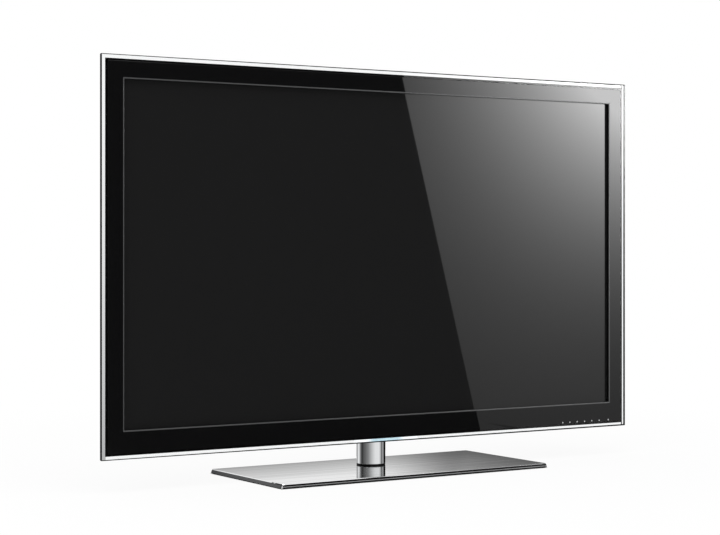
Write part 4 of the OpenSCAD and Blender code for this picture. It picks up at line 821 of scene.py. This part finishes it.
beside, wider, behind, low, high = 0.030, 0.0353, -0.02, base_high.z + 0.0004, 0.0525
card("neck_cards", [by_neck(*corner) for corner in (
    (behind, -wider, low), (behind, -wider, high), (beside, -beside, high), (beside, -beside, low),
    (behind, wider, low), (beside, beside, low), (beside, beside, high), (behind, wider, high),
    (beside, -beside, low), (beside, -beside, high), (beside, beside, high), (beside, beside, low))], neck_glow)

lip_stops = [(0.504, 1.0), (0.516, 0.15), (0.55, 0.2), (0.565, 0.55), (0.585, 0.55), (0.597, 0.95), (0.84, 0.35)]
card("lip_card", [(0.4, -0.4, 1.0), (0.4, 0.0, 1.0), (1.1, 0.0, 1.0), (1.1, -0.4, 1.0)],
     lambda place: place.node("ShaderNodeValToRGB", {"stops": lip_stops}, {0: along(place, "X")}))

flag_y, flag_left, flag_right = panel_front + 0.0064, -0.5478, -0.5400
card("left_flag", [(flag_left, flag_y, rim[1]), (flag_right, flag_y, rim[1]), (flag_right, flag_y, rim[2]),
                   (flag_left, flag_y, rim[2])],
     lambda place: 0.38 + along(place, "Z") * (1.3 - 0.62 * along(place, "Z")), "transmission")


def in_view(feed):
    """One for the rays that show the white surround: the camera's, in gloss and through glass."""
    camera_ray, gloss_ray, glass_ray = [feed.node("ShaderNodeLightPath", output="Is " + kind + " Ray")
                                        for kind in ("Camera", "Glossy", "Transmission")]
    return feed.sum("MAXIMUM", feed.sum("MAXIMUM", camera_ray, gloss_ray), glass_ray)


floor_mesh = bpy.data.meshes.new("floor")
floor_mesh.from_pydata([(30 * x, 30 * y, 0) for x, y in ((-1, -1), (1, -1), (1, 1), (-1, 1))], [], [(0, 1, 2, 3)])
floor = bpy.data.objects.new("floor", floor_mesh)
bpy.context.scene.collection.objects.link(floor)
floor_white, place = new_finish("floor_white")
matt = place.node("ShaderNodeBsdfDiffuse", {}, {
    "Color": tint(grain(place, 3), (0.87, 0.87, 0.87), (0.89, 0.89, 0.89))})
white = place.node("ShaderNodeEmission", {}, {"Color": (1.0, 1.0, 1.0, 1.0), "Strength": 1.0})
under = (abs(along(place, "X")) < base_high.x) * (abs(along(place, "Y")) < base_high.y)
spread = place.node("ShaderNodeVectorMath", {"operation": "LENGTH"}, {0: place}, "Value")
glowing = in_view(place) * eased(spread, 0.4, 1.6, 0.9, 1.0, "SMOOTHSTEP") * (1.0 - under)
place.node("ShaderNodeOutputMaterial", {}, {
    "Surface": place.node("ShaderNodeMixShader", {}, {0: glowing, 1: matt, 2: white})})
floor_mesh.materials.append(floor_white)

world = bpy.data.worlds.new("studio")
bpy.context.scene.world = world
world.use_nodes = True
world.node_tree.nodes.clear()
air = Feed(world.node_tree)
sky = air.node("ShaderNodeBackground", {}, {
    "Color": tint(in_view(air), (0.65, 0.65, 0.65), (1.0, 1.0, 1.0)), "Strength": 1.0})
air.node("ShaderNodeOutputWorld", {}, {"Surface": sky})

lamp = bpy.data.lights.new("top_softbox", "AREA")
lamp.shape = "RECTANGLE"
lamp.size = 3.0
lamp.size_y = 2.5
lamp.energy = 60.0
softbox = bpy.data.objects.new("top_softbox", lamp)
softbox.location = (-0.6, -0.8, 3.0)
bpy.context.scene.collection.objects.link(softbox)

lens = bpy.data.cameras.new("photo_camera")
lens.sensor_fit = "HORIZONTAL"
lens.sensor_width = 36.0
lens.lens = 91.906
lens.shift_y = -0.0321
lens.clip_end = 200.0
camera = bpy.data.objects.new("photo_camera", lens)
camera.location = camera_place
camera.rotation_euler = (math.pi / 2, 0.0, math.radians(-32.42))
bpy.context.scene.collection.objects.link(camera)
bpy.context.scene.camera = camera
bpy.context.scene.view_settings.view_transform = "Standard"
